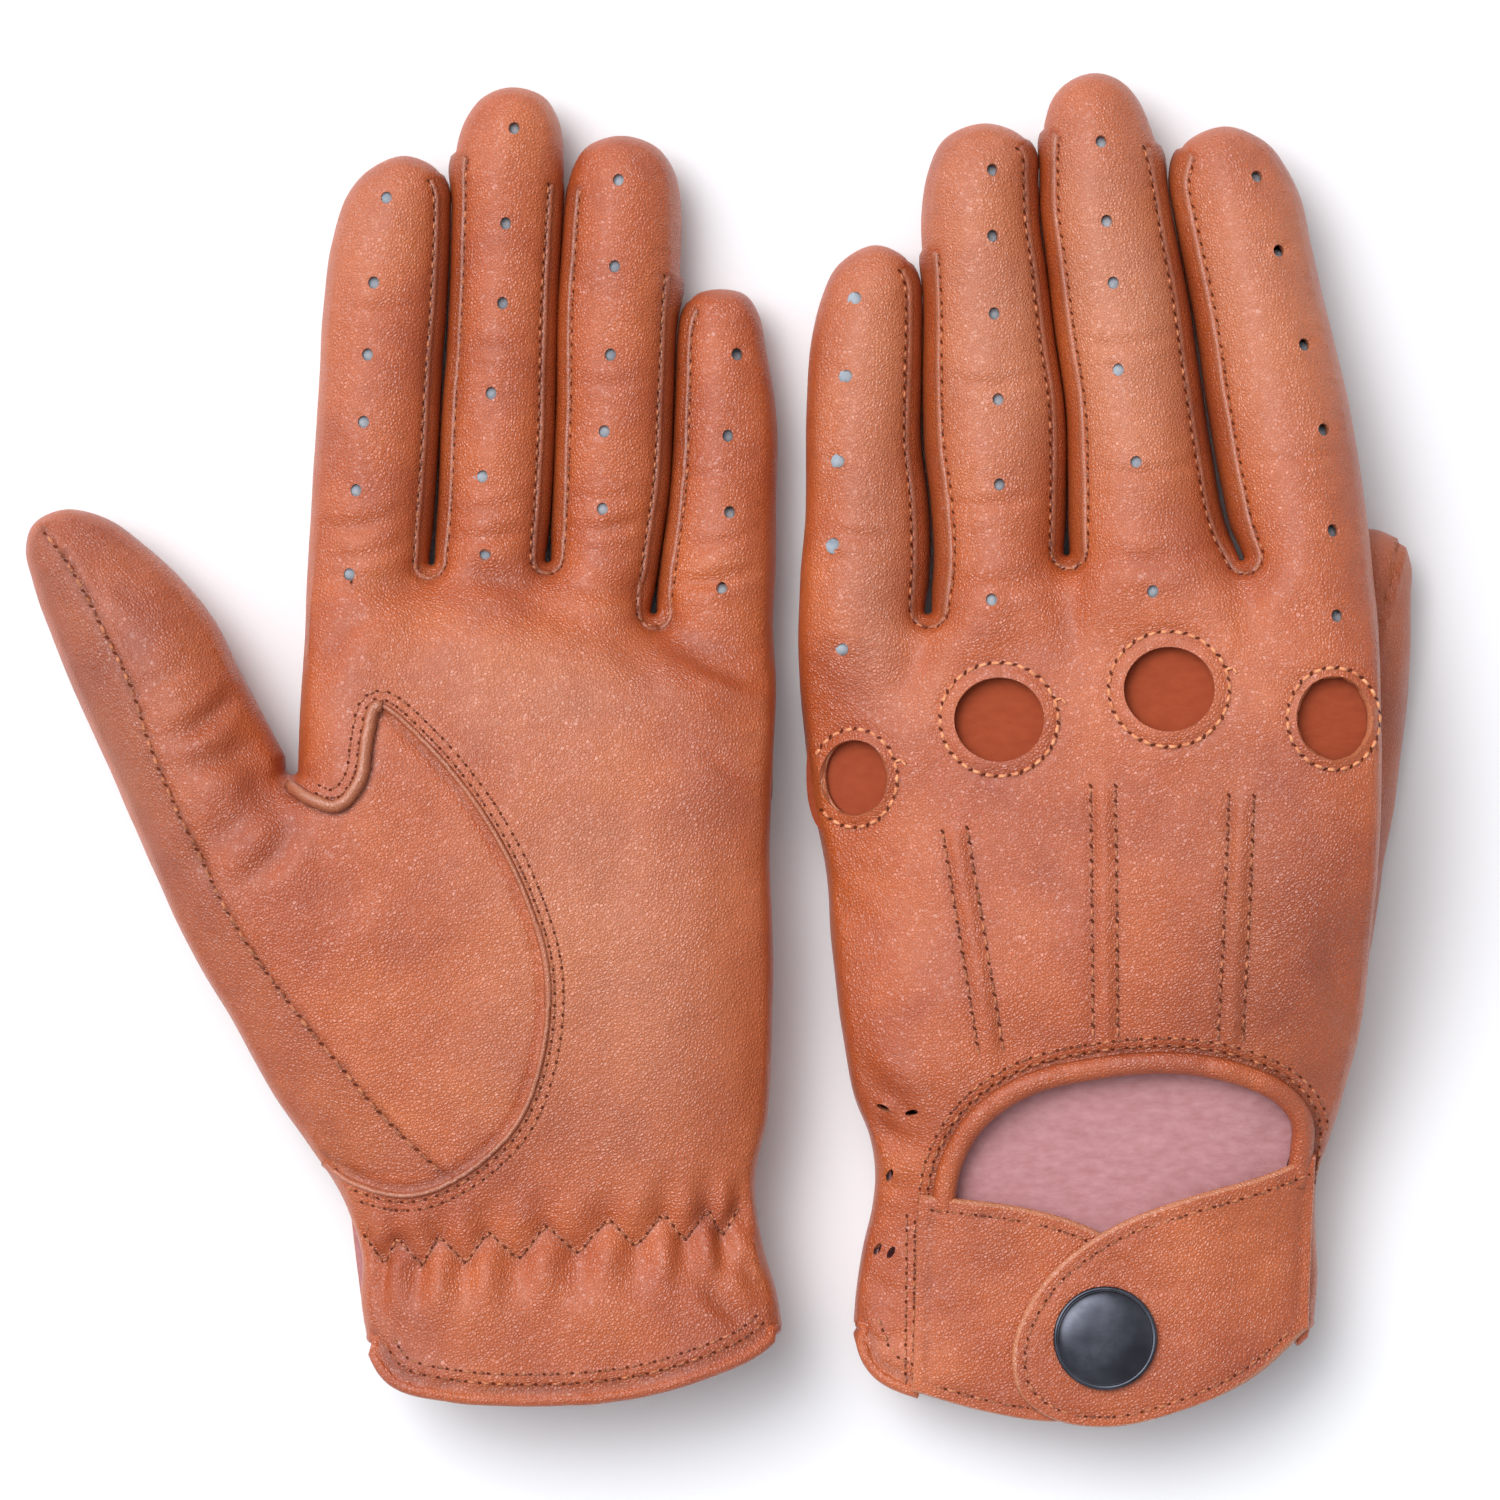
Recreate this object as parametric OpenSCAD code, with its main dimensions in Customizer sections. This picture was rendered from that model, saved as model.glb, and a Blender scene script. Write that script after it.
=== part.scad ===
// A pair of short leather driving gloves, laid flat side by side.
// Glove a lies palm up, glove b lies back up. Both are cut for the same hand.
// The table is z = 0, the fingers point along +Y, and the pair is centred on the origin.

/* [Leather] */
// Thickness of the leather skins
leather = 1.2; // [0.8:0.1:1.4]
// Radius of the small ventilation holes
vent_r = 0.9; // [0.5:0.1:1.1]
// Half height of the side strips of the fingers
fourchette_h = 3.5; // [2:0.5:4.5]

/* [Back of the hand] */
// Width of the facing ring sewn inside round each knuckle hole
ring_w = 3.4; // [2:0.2:4]
// Width of the binding round the wrist opening
binding_w = 3.2; // [2:0.2:4]
// Width of each raised ridge on the back
ridge_w = 3.4; // [2:0.2:4]

/* [Snap fastener] */
// Radius of the domed cap
cap_r = 8.5; // [7:0.5:9]
// Height of the domed cap
cap_h = 2.2; // [1.4:0.2:2.4]
// Radius of the socket under the cap
socket_r = 5; // [4:0.5:6]
// Radius of the stud's head
stud_r = 2.2; // [1.6:0.2:2.6]

/* [Cuff] */
// Width of the rolled hem
hem_w = 3.4; // [2:0.2:5]
// Width of the elastic inside the wrist
elastic_w = 8; // [4:1:10]

/* [Hidden] */
GLOVES = ["a", "b"];
FINGERS = ["index", "middle", "ring", "little"];
// The hand's cross-section is a superellipse with this exponent, of this many points.
ROUNDNESS = 2.5;
AROUND = 28;
$fn = 40;
eps = 0.02;

// Which side of each hand the index finger is on: a has it at -X, b at +X.
index_side = [-1, 1];
// The glove's upper face when it lies on the table: a shows its palm, b its back.
palm_up = [true, false];

// Hand cross-sections, from the cuff to the finger roots:
// [y, left x, right x, lowest z, highest z, rise of the right edge]
hand_sections = [
    [
        [-112, -57, 10.5, 5.4, 24.5, 0],
        [-100, -58, 10.2, 5.4, 24.5, 0],
        [-90, -59, 9, 5.4, 24, 0],
        [-80, -60, 6.5, 5.4, 23.5, 0],
        [-72, -62, 5.9, 5.2, 24, 0],
        [-64, -68.5, 7.6, 3.6, 25, 0],
        [-54, -75.5, 8.5, 1.6, 26, 0],
        [-42, -82, 8.7, 0.9, 27, 0],
        [-30, -89, 8.5, 0.9, 28, 0],
        [-20, -91, 8.5, 0.9, 28, 0],
        [-12, -80.5, 8.6, 0.9, 27.5, 0],
        [-5, -71, 8.7, 0.85, 27, 0],
        [5, -69.7, 8.8, -0.2, 26, 0],
        [20, -69, 9.3, -0.4, 23, 0],
        [31, -69, 9.6, 0.2, 20.5, 0],
    ],
    [
        [-116, 25, 98, 0.3, 19.5, 0],
        [-104, 24.5, 98.2, 0.3, 19.5, 0],
        [-94, 22.2, 98.4, 0.3, 19.5, 0],
        [-86, 23.2, 98.8, 0.3, 19.5, 0],
        [-78, 24.7, 98.4, 0.3, 20, 0],
        [-70, 25.7, 98.4, 0.2, 21, 0],
        [-62, 23.5, 101.5, -0.5, 23.3, 0.5],
        [-50, 20.9, 104.5, -0.5, 25.5, 1.5],
        [-40, 19.4, 105.8, -0.4, 27, 3.5],
        [-31, 18.6, 106.5, 0.6, 27.3, 6],
        [-23, 17.8, 107, 2.4, 27.2, 8],
        [-12, 16, 107.2, 3.6, 26.8, 9],
        [4, 14.4, 107.3, 3.6, 26.3, 9],
        [18, 13.2, 107.3, 3.4, 25, 8.3],
        [31, 12.6, 107.3, 3.2, 23, 7.5],
    ],
];

// Outline of each hand seen from above, anticlockwise: the hem's curve first, then the finger roots.
hand_outline = [
    [
        [-95, -98], [-58, -99.5], [-50, -103.5], [-40, -105.8], [-27, -106.5], [-12, -104.8],
        [0, -100.8], [11, -95.5], [14, -60], [14, 18.8], [-9.5, 19.6], [-28.5, 28.6],
        [-48, 28.2], [-74, 28.2], [-72, -5], [-92.5, -19], [-98, -40],
    ],
    [
        [18, -104.5], [30.5, -106.5], [45, -109.5], [62.8, -111.5], [78, -107], [98.5, -95.5],
        [112, -60], [112, 28.5], [86, 29], [57, 28.6], [33.4, 18.8], [8, 18.8], [8, -60],
    ],
];

// Fingers: [hinge, tip centre, radius at the hinge, radius at the tip]
fingers = [
    [
        [[-57.2, 39.5, 9.7], [-53.5, 89, 8.9], 9.6, 8.8],
        [[-37.5, 39.8, 9.3], [-34.7, 100, 8.5], 9.2, 8.4],
        [[-18.5, 38.4, 9.1], [-16.2, 91.2, 8.8], 9, 8.7],
        [[0.2, 28.8, 8.9], [0.6, 67.4, 7.5], 8.8, 7.4],
    ],
    [
        [[94.8, 40.2, 17.6], [84.6, 91.2, 10.3], 11, 10.2],
        [[69.9, 41.4, 15.2], [62.8, 102.1, 9.4], 11.3, 9.3],
        [[45.1, 39.4, 12.2], [43.6, 93.5, 9.5], 10.3, 9.4],
        [[23.5, 29.4, 9.8], [25.3, 74.2, 8.5], 9.5, 8.4],
    ],
];

// Thumbs, in the same form. The first lies out to the side, the second is tucked under the palm.
thumbs = [
    [[-88.2, -1.2, 12.2], [-105.4, 29.5, 9.4], 11.9, 9.3],
    [[101.8, -17.6, 7.3], [107.3, 28, 7.5], 7.2, 7.4],
];
// Turn of the thumb's seam about the thumb's own length
thumb_seam_turn = [52, 30];
// Gap between the thumb and the gusset beside it
thumb_gap = 0.4;

// Features of the back and the palm are placed by [u, y], where u runs from -1 at the
// little finger's edge of the hand to +1 at the index finger's edge. These are the middle
// of each hand and half its width, by y, without the swell of the thumb's root.
hand_mid = [
    [[-116, -25], [-75, -26.5], [-50, -30], [31, -30]],
    [[-116, 60.5], [31, 60]],
];
hand_half = [
    [[-116, 34], [-85, 33.5], [-60, 37], [-40, 39], [31, 39]],
    [[-116, 37], [-75, 37], [-50, 43], [-20, 46], [31, 47]],
];

// Knuckle holes: [u, y, half width, half length]
knuckle_holes = [
    [-0.82, -5.2, 5.4, 6.3],
    [-0.31, 4.4, 7.3, 6.9],
    [0.28, 9.3, 7.3, 6.8],
    [0.85, 4.5, 5.6, 6.9],
];

// Raised ridges on the back: [u and y at the knuckles, u and y at the wrist]
back_ridge_ends = [
    [-0.47, -13.6, -0.37, -50.5],
    [0.05, -6.4, 0.06, -47.8],
    [0.53, -8, 0.53, -48.4],
];

// Inner edge of the wrist opening in the back, from the little finger's side round its arch.
opening_edge = [
    [-0.61, -125], [-0.61, -74], [-0.55, -68], [-0.42, -61.5], [-0.23, -56.5], [0.06, -53.6],
    [0.34, -52.9], [0.57, -54.6], [0.74, -57.6], [0.83, -61.6], [0.86, -66.6], [0.86, -125],
];

// Edge of the thumb's gusset in the palm, from the thumb's crotch over its peak to the wrist.
gusset_edge = [
    [1.03, -6.4], [0.92, -8.8], [0.82, -9.6], [0.73, -5.5], [0.71, 1.6], [0.64, 6.4],
    [0.46, 0.2], [0.2, -12.1], [0.03, -25.3], [-0.05, -36.9], [-0.03, -50.1], [0.17, -61.6],
    [0.49, -69.9], [0.74, -72.8], [1.02, -69],
];

// Strap tabs, by [u, y]
strap_base_outline = [
    [-0.76, -73.5], [-0.26, -76.5], [0.05, -79.8], [0.27, -86], [0.32, -99], [0.24, -109.5],
    [0.08, -111], [-0.4, -109], [-0.78, -105.5],
];
strap_tab_outline = [
    [0.96, -67.5], [0.6, -71.5], [0.11, -78], [-0.16, -84], [-0.34, -92], [-0.36, -99],
    [-0.3, -106], [-0.14, -109.8], [0.08, -111.2], [0.43, -108.6], [0.73, -103.5], [0.96, -97],
];
snap_at = [0.07, -96.6];
// Height of each layer above the hand's surface
strap_base_lift = 0.05;
strap_tab_lift = 1.7;
strap_t = 1.2;

PARTS = [
    "hand_back", "hand_palm", "thumb_gusset", "thumb_welt", "opening_binding", "cuff_hem",
    "wrist_elastic", "knuckle_rings", "back_ridges", "strap_base", "snap_post", "snap_stud",
    "strap_tab", "snap_cap", "snap_socket", "thumb_back", "thumb_front",
    "index_back", "index_front", "index_fourchette", "middle_back", "middle_front",
    "middle_fourchettes", "ring_back", "ring_front", "ring_fourchettes",
    "little_back", "little_front", "little_fourchette",
];
function full_name(g, part) = str("glove_", GLOVES[g], "_", part);

tan_leather = [0.76, 0.45, 0.31];
edge_leather = [0.66, 0.36, 0.23];
dark_metal = [0.3, 0.31, 0.34];

// A skin is one thin sheet, taken as a single mesh.
module sheet() {
    resize([0, 0, 0]) children();
}

function power(v, p) = sign(v) * pow(abs(v), p);
function ring_points(s, grow) = [
    for (i = [0 : AROUND - 1])
        let (
            a = 360 * i / AROUND,
            u = power(cos(a), 2 / ROUNDNESS),
            w = power(sin(a), 2 / ROUNDNESS),
            half_x = (s[2] - s[1]) / 2 + grow,
            half_z = (s[4] - s[3]) / 2 + grow
        )
        [(s[1] + s[2]) / 2 + half_x * u, s[0], (s[3] + s[4]) / 2 + half_z * w + s[5] * u]
];

// The hand as a smooth solid, grown by some distance all round.
module hand_solid(g, grow = 0) {
    rows = hand_sections[g];
    last = len(rows) - 1;
    points = [for (s = rows) each ring_points(s, grow)];
    sides = [
        for (r = [0 : last - 1], i = [0 : AROUND - 1])
            let (j = (i + 1) % AROUND, a = r * AROUND, b = a + AROUND)
            each [[a + i, a + j, b + j], [a + i, b + j, b + i]]
    ];
    start = [for (i = [AROUND - 1 : -1 : 0]) i];
    end = [for (i = [0 : AROUND - 1]) last * AROUND + i];
    polyhedron(concat(points), concat(sides, [start], [end]));
}

// A layer of the hand's surface between two heights above it.
module hand_layer(g, low, high) {
    difference() {
        hand_solid(g, high);
        hand_solid(g, low);
    }
}

module above_table() {
    translate([-200, -200, 0]) cube([400, 400, 100]);
}

// The half space over or under the hand's middle, which leans with the hand.
module half_space(g, upper) {
    lean = g == 0 ? 0 : 7 / 47;
    middle = g == 0 ? 13.5 : 13;
    axis = lookup(0, hand_mid[g]);
    multmatrix([[1, 0, 0, 0], [0, 1, 0, 0], [lean, 0, 1, middle - lean * axis], [0, 0, 0, 1]])
        translate([-250, -200, upper ? 0 : -100]) cube([500, 400, 100]);
}

module palm_half(g) {
    half_space(g, palm_up[g]);
}

module back_half(g) {
    half_space(g, !palm_up[g]);
}

module tall(low = -10) {
    translate([0, 0, low]) linear_extrude(60) children();
}

function place(g, p) = [
    lookup(p[1], hand_mid[g]) + index_side[g] * lookup(p[1], hand_half[g]) * p[0],
    p[1],
];
function place_all(g, list) = [for (p = list) place(g, p)];

// The hand's leather, open at the cuff and closed towards the fingers but for their passages.
module hand_shell(g) {
    difference() {
        intersection() {
            hand_solid(g);
            tall() polygon(hand_outline[g]);
            above_table();
        }
        intersection() {
            hand_solid(g, -leather);
            tall() union() {
                offset(delta = -leather) polygon(hand_outline[g]);
                translate([-200, -140]) square([400, 60]);
            }
            translate([-200, -200, leather]) cube([400, 400, 100]);
        }
        for (f = concat(fingers[g], [thumbs[g]])) passage(f);
    }
}

// The way from the palm into a finger.
module passage(f) {
    along(f) rotate([90, 0, 0]) translate([0, 0, 2]) cylinder(r = f[2] * 0.68, h = f[2] + 6, $fn = 24);
}

// Puts what is drawn along +Y from the origin at a finger's hinge, pointing to its tip.
module along(f) {
    d = f[1] - f[0];
    translate(f[0])
        rotate([0, 0, atan2(-d[0], d[1])])
        rotate([atan2(d[2], norm([d[0], d[1]])), 0, 0])
        children();
}

module vents_in_hand(g, up) {
    for (f = fingers[g])
        along(f) translate([0, -f[2] - 5, up ? 0 : -30]) cylinder(r = vent_r, h = 30, $fn = 8);
}

module hole_shape(g, h, grow) {
    translate(place(g, h)) scale([(h[2] + grow) / (h[3] + grow), 1])
        circle(r = h[3] + grow, $fn = 24);
}

module opening_shape(g) {
    polygon(place_all(g, opening_edge));
}

module hand_back(g) {
    color(tan_leather) sheet() difference() {
        intersection() {
            hand_shell(g);
            back_half(g);
        }
        tall() offset(r = binding_w) opening_shape(g);
        for (h = knuckle_holes) feature_cut(g) hole_shape(g, h, 0);
        vents_in_hand(g, !palm_up[g]);
    }
}

// A cut through the back's face of the hand only.
module feature_cut(g) {
    translate([0, 0, palm_up[g] ? -20 : 14]) linear_extrude(34) children();
}

function gusset_outline(g) = concat(place_all(g, gusset_edge), [
    place(g, [1.6, -75]), place(g, [1.95, -40]), place(g, [1.6, -12]),
]);

module hand_palm(g) {
    color(tan_leather) sheet() difference() {
        intersection() {
            hand_shell(g);
            palm_half(g);
        }
        tall() polygon(gusset_outline(g));
        vents_in_hand(g, palm_up[g]);
    }
}

module thumb_gusset(g) {
    color(tan_leather) sheet() difference() {
        intersection() {
            hand_shell(g);
            palm_half(g);
            tall() polygon(gusset_outline(g));
        }
        thumb_room(g);
    }
}

// Room for the thumb and its rounded root beside the gusset.
module thumb_room(g) {
    f = thumbs[g];
    along(f) {
        sphere(r = f[2] + thumb_gap);
        rotate([-90, 0, 0]) cylinder(r = max(f[2], f[3]) + thumb_gap, h = norm(f[1] - f[0]));
    }
}

// A narrow raised edge along the part of the gusset's seam by the thumb's crotch.
module thumb_welt(g) {
    edge = place_all(g, [for (i = [0 : 5]) gusset_edge[i]]);
    color(edge_leather) sheet() intersection() {
        hand_layer(g, eps, 0.9);
        palm_half(g);
        above_table();
        tall() for (i = [1 : 4]) hull() {
            translate(edge[i]) circle(r = 0.9, $fn = 12);
            translate(edge[i + 1]) circle(r = 0.9, $fn = 12);
        }
    }
}

module opening_binding(g) {
    color(edge_leather) sheet() intersection() {
        hand_layer(g, -leather - 0.4, 0.6);
        back_half(g);
        tall() intersection() {
            polygon(hand_outline[g]);
            difference() {
                offset(r = binding_w - eps) opening_shape(g);
                opening_shape(g);
                polygon(place_all(g, strap_base_outline));
            }
        }
    }
}

module cuff_hem(g) {
    color(edge_leather) sheet() intersection() {
        hand_layer(g, eps, 0.7);
        palm_half(g);
        above_table();
        tall() difference() {
            polygon(hand_outline[g]);
            translate([0, hem_w]) polygon(hand_outline[g]);
            translate([-200, -90]) square([400, 200]);
        }
    }
}

module wrist_elastic(g) {
    color("ivory") sheet() intersection() {
        hand_layer(g, -leather - 0.9, -leather - eps);
        palm_half(g);
        above_table();
        translate([-200, -76 - elastic_w / 2, 0]) cube([400, elastic_w, 60]);
        translate([place(g, [index_side[g] * -0.8, -76])[0], -100, 0]) cube([56, 100, 60]);
    }
}

module knuckle_rings(g) {
    color(edge_leather) sheet() intersection() {
        hand_layer(g, -leather - 0.8, -leather - eps);
        back_half(g);
        translate([-200, -200, leather]) cube([400, 400, 60]);
        tall() intersection() {
            offset(delta = -leather - eps) polygon(hand_outline[g]);
            for (h = knuckle_holes) difference() {
                hole_shape(g, h, ring_w);
                hole_shape(g, h, 0);
            }
        }
    }
}

module back_ridges(g) {
    color(tan_leather) sheet() intersection() {
        hand_layer(g, eps, 0.8);
        back_half(g);
        above_table();
        tall() for (r = back_ridge_ends) hull() {
            translate(place(g, [r[0], r[1]])) circle(r = ridge_w / 2, $fn = 12);
            translate(place(g, [r[2], r[3]])) circle(r = ridge_w / 2, $fn = 12);
        }
    }
}

// Places what is drawn at the snap, with +Z out of the back of the hand.
module at_snap(g, lift) {
    s = hand_sections[g][2];
    face = palm_up[g] ? s[3] - lift : s[4] + lift;
    translate(concat(place(g, snap_at), [face])) rotate([palm_up[g] ? 180 : 0, 0, 0]) children();
}

module strap_sheet(g, lift, outline, hole_r) {
    sheet() difference() {
        intersection() {
            hand_layer(g, lift, lift + strap_t);
            back_half(g);
            tall() polygon(place_all(g, outline));
        }
        at_snap(g, -10) cylinder(r = hole_r + 0.1, h = 20, $fn = 24);
    }
}

module strap_base(g) {
    color(tan_leather) strap_sheet(g, strap_base_lift, strap_base_outline, stud_r);
}

module strap_tab(g) {
    color(tan_leather) strap_sheet(g, strap_tab_lift, strap_tab_outline, socket_r);
}

// The post: an eyelet whose flange lies inside the glove, under the lower tab.
module snap_post(g) {
    profile = [[0, -0.9], [4.2, -0.9], [4.2, -0.15], [1.2, -0.15], [1.2, 2.6], [0, 2.6]];
    color(dark_metal) at_snap(g, 0) rotate_extrude() polygon(profile);
}

// The stud: a waisted ring on the post, standing up through the lower tab.
module snap_stud(g) {
    profile = [
        [1.25, -0.1], [stud_r, -0.1], [stud_r, 1.4], [1.8, 1.6], [1.8, 1.9],
        [stud_r, 2.3], [1.8, 2.7], [1.25, 2.7],
    ];
    color(dark_metal) at_snap(g, 0) rotate_extrude() polygon(profile);
}

// The socket: a ring in the upper tab that the stud's head springs into.
module snap_socket(g) {
    profile = [
        [stud_r + 0.2, 1.75], [socket_r, 1.75], [socket_r, 3], [socket_r - 1, 3.1],
        [stud_r + 0.2, 3.1],
    ];
    color(dark_metal) at_snap(g, 0) rotate_extrude() polygon(profile);
}

// The cap: a shallow dome with a rolled rim that covers the socket.
module snap_cap(g) {
    low = strap_tab_lift + strap_t + 0.25;
    arc = [for (a = [0 : 15 : 90]) [cap_r * sin(a), low + 0.6 + (cap_h - 0.6) * cos(a)]];
    color(dark_metal) at_snap(g, 0) rotate_extrude() polygon(concat(arc, [[cap_r, low], [0, low]]));
}

// A hollow finger along +Y: a rounded root about the hinge, a tapering tube and a round tip.
module finger_shell(f) {
    root = f[2];
    tip = f[3];
    reach = norm(f[1] - f[0]);
    way = root * 0.68;
    outer = concat(
        [for (a = [-42 : 14 : 0]) [root * cos(a), root * sin(a)]],
        [for (a = [6 : 14 : 90]) [tip * cos(a), reach + tip * sin(a)]],
        [[0, reach + tip]]
    );
    in_root = root - leather;
    in_tip = tip - leather;
    inner = concat(
        [[0, reach + in_tip]],
        [for (a = [76 : -14 : 6]) [in_tip * cos(a), reach + in_tip * sin(a)]],
        [for (a = [0 : -14 : -28]) [in_root * cos(a), in_root * sin(a)]],
        [[way, -in_root * 0.68]]
    );
    rotate([-90, 0, 0]) rotate_extrude() polygon(concat(outer, inner));
}

// Wedges that the side strips of a finger fill, on the given sides.
module side_strips(f, sides) {
    reach = norm(f[1] - f[0]);
    root = f[2];
    for (side = sides) {
        rotate([90, 0, 90]) translate([0, 0, side > 0 ? 0 : -40]) linear_extrude(40) polygon([
            [-root - 5, -fourchette_h], [reach, -fourchette_h], [reach + f[3] * 0.7, 0],
            [reach, fourchette_h], [-root - 5, fourchette_h],
        ]);
    }
}

// The sides of each finger that face another finger.
function strip_sides(g, i) =
    i == 0 ? [-index_side[g]] :
    i == 3 ? [index_side[g]] : [-1, 1];

module finger_vents(f) {
    reach = norm(f[1] - f[0]);
    for (i = [0 : 4]) translate([0, reach * (1.03 - 0.235 * i), -20]) cylinder(r = vent_r, h = 40);
}

module finger_half(g, i, upper) {
    f = fingers[g][i];
    color(tan_leather) along(f) difference() {
        finger_shell(f);
        translate([-30, -30, upper ? -60 : 0]) cube([60, 150, 60]);
        side_strips(f, strip_sides(g, i));
        finger_vents(f);
    }
}

module finger_back(g, i) {
    finger_half(g, i, !palm_up[g]);
}

module finger_front(g, i) {
    finger_half(g, i, palm_up[g]);
}

module fourchettes(g, i) {
    f = fingers[g][i];
    color(edge_leather) along(f) intersection() {
        finger_shell(f);
        side_strips(f, strip_sides(g, i));
    }
}

// The thumb is two halves, joined by a seam that runs over its tip.
module thumb_half(g, first) {
    f = thumbs[g];
    color(tan_leather) along(f) intersection() {
        finger_shell(f);
        rotate([0, thumb_seam_turn[g] * index_side[g], 0])
            translate([-50, -50, first ? 0 : -100]) cube([100, 150, 100]);
    }
}

module thumb_back(g) {
    thumb_half(g, !palm_up[g]);
}

module thumb_front(g) {
    thumb_half(g, palm_up[g]);
}

module glove(g) {
    hand_back(g);
    hand_palm(g);
    thumb_gusset(g);
    thumb_welt(g);
    opening_binding(g);
    cuff_hem(g);
    wrist_elastic(g);
    knuckle_rings(g);
    back_ridges(g);
    strap_base(g);
    snap_post(g);
    snap_stud(g);
    strap_tab(g);
    snap_cap(g);
    snap_socket(g);
    thumb_back(g);
    thumb_front(g);
    for (i = [0 : 3]) {
        finger = FINGERS[i];
        strips = len(strip_sides(g, i)) > 1 ? "_fourchettes" : "_fourchette";
        finger_back(g, i);
        finger_front(g, i);
        fourchettes(g, i);
    }
}

glove(0);
glove(1);
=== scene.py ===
"""Looks for a pair of leather driving gloves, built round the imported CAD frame.

Glove a lies palm up, glove b lies back up. Plans are in millimetres, as [x, y] seen from above,
and become metres when a mesh is made. Each glove is one smooth skin: an upper and a lower panel
over a plan outline, joined by walls along its sides, then cut into the pieces it is sewn from.
"""

import math

import bpy
import numpy as np
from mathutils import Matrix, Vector, noise
from mathutils.bvhtree import BVHTree
from mathutils.geometry import delaunay_2d_cdt
from mathutils.kdtree import KDTree


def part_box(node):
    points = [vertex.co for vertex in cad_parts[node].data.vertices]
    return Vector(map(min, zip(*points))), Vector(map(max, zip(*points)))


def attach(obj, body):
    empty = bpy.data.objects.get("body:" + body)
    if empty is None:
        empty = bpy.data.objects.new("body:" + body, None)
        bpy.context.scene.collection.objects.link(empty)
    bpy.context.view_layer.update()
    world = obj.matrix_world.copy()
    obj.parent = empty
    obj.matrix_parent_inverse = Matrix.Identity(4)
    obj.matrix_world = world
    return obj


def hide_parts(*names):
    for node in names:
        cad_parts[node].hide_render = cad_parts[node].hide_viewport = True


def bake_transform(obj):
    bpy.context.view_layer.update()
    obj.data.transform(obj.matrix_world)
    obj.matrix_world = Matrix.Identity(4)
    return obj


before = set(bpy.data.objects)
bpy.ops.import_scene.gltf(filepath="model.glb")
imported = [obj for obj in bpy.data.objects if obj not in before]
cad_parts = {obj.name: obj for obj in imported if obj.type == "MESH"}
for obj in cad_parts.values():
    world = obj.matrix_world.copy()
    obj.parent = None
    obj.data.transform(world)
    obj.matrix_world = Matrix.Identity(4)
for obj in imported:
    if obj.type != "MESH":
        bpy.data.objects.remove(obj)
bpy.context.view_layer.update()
MM = 0.001
FINGERS = ["index", "middle", "ring", "little"]

# Spacing of the mesh over the panel seen from above and over the one below
FINE, COARSE = 1.0, 1.7
# Distance from the outline to the fingers' seams, and rows of wall down to there
SEAM_INSET, WALL_ROWS = 1.7, 4
# Thickness of the leather
SKIN = 1.2
# Parts of the outline this near to a line between two fingers belong to their side strips
STRIP_REACH = 1.9
# Distances of the hem's rows of stitches from its edge, and the y below which they pass the outline's ends
HEM_ROWS, HEM_TOP = (2.7, 4.3), -90
# The height below which each glove's leather settles on the table, and what is left of it there
SETTLING = [(2.4, 0.53), (3.0, 0.58)]
# Width that the camera sees, and the middle of the view
VIEW_WIDTH, VIEW_CENTRE = 247.5, (5.0325, -0.5775, 12)

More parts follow.
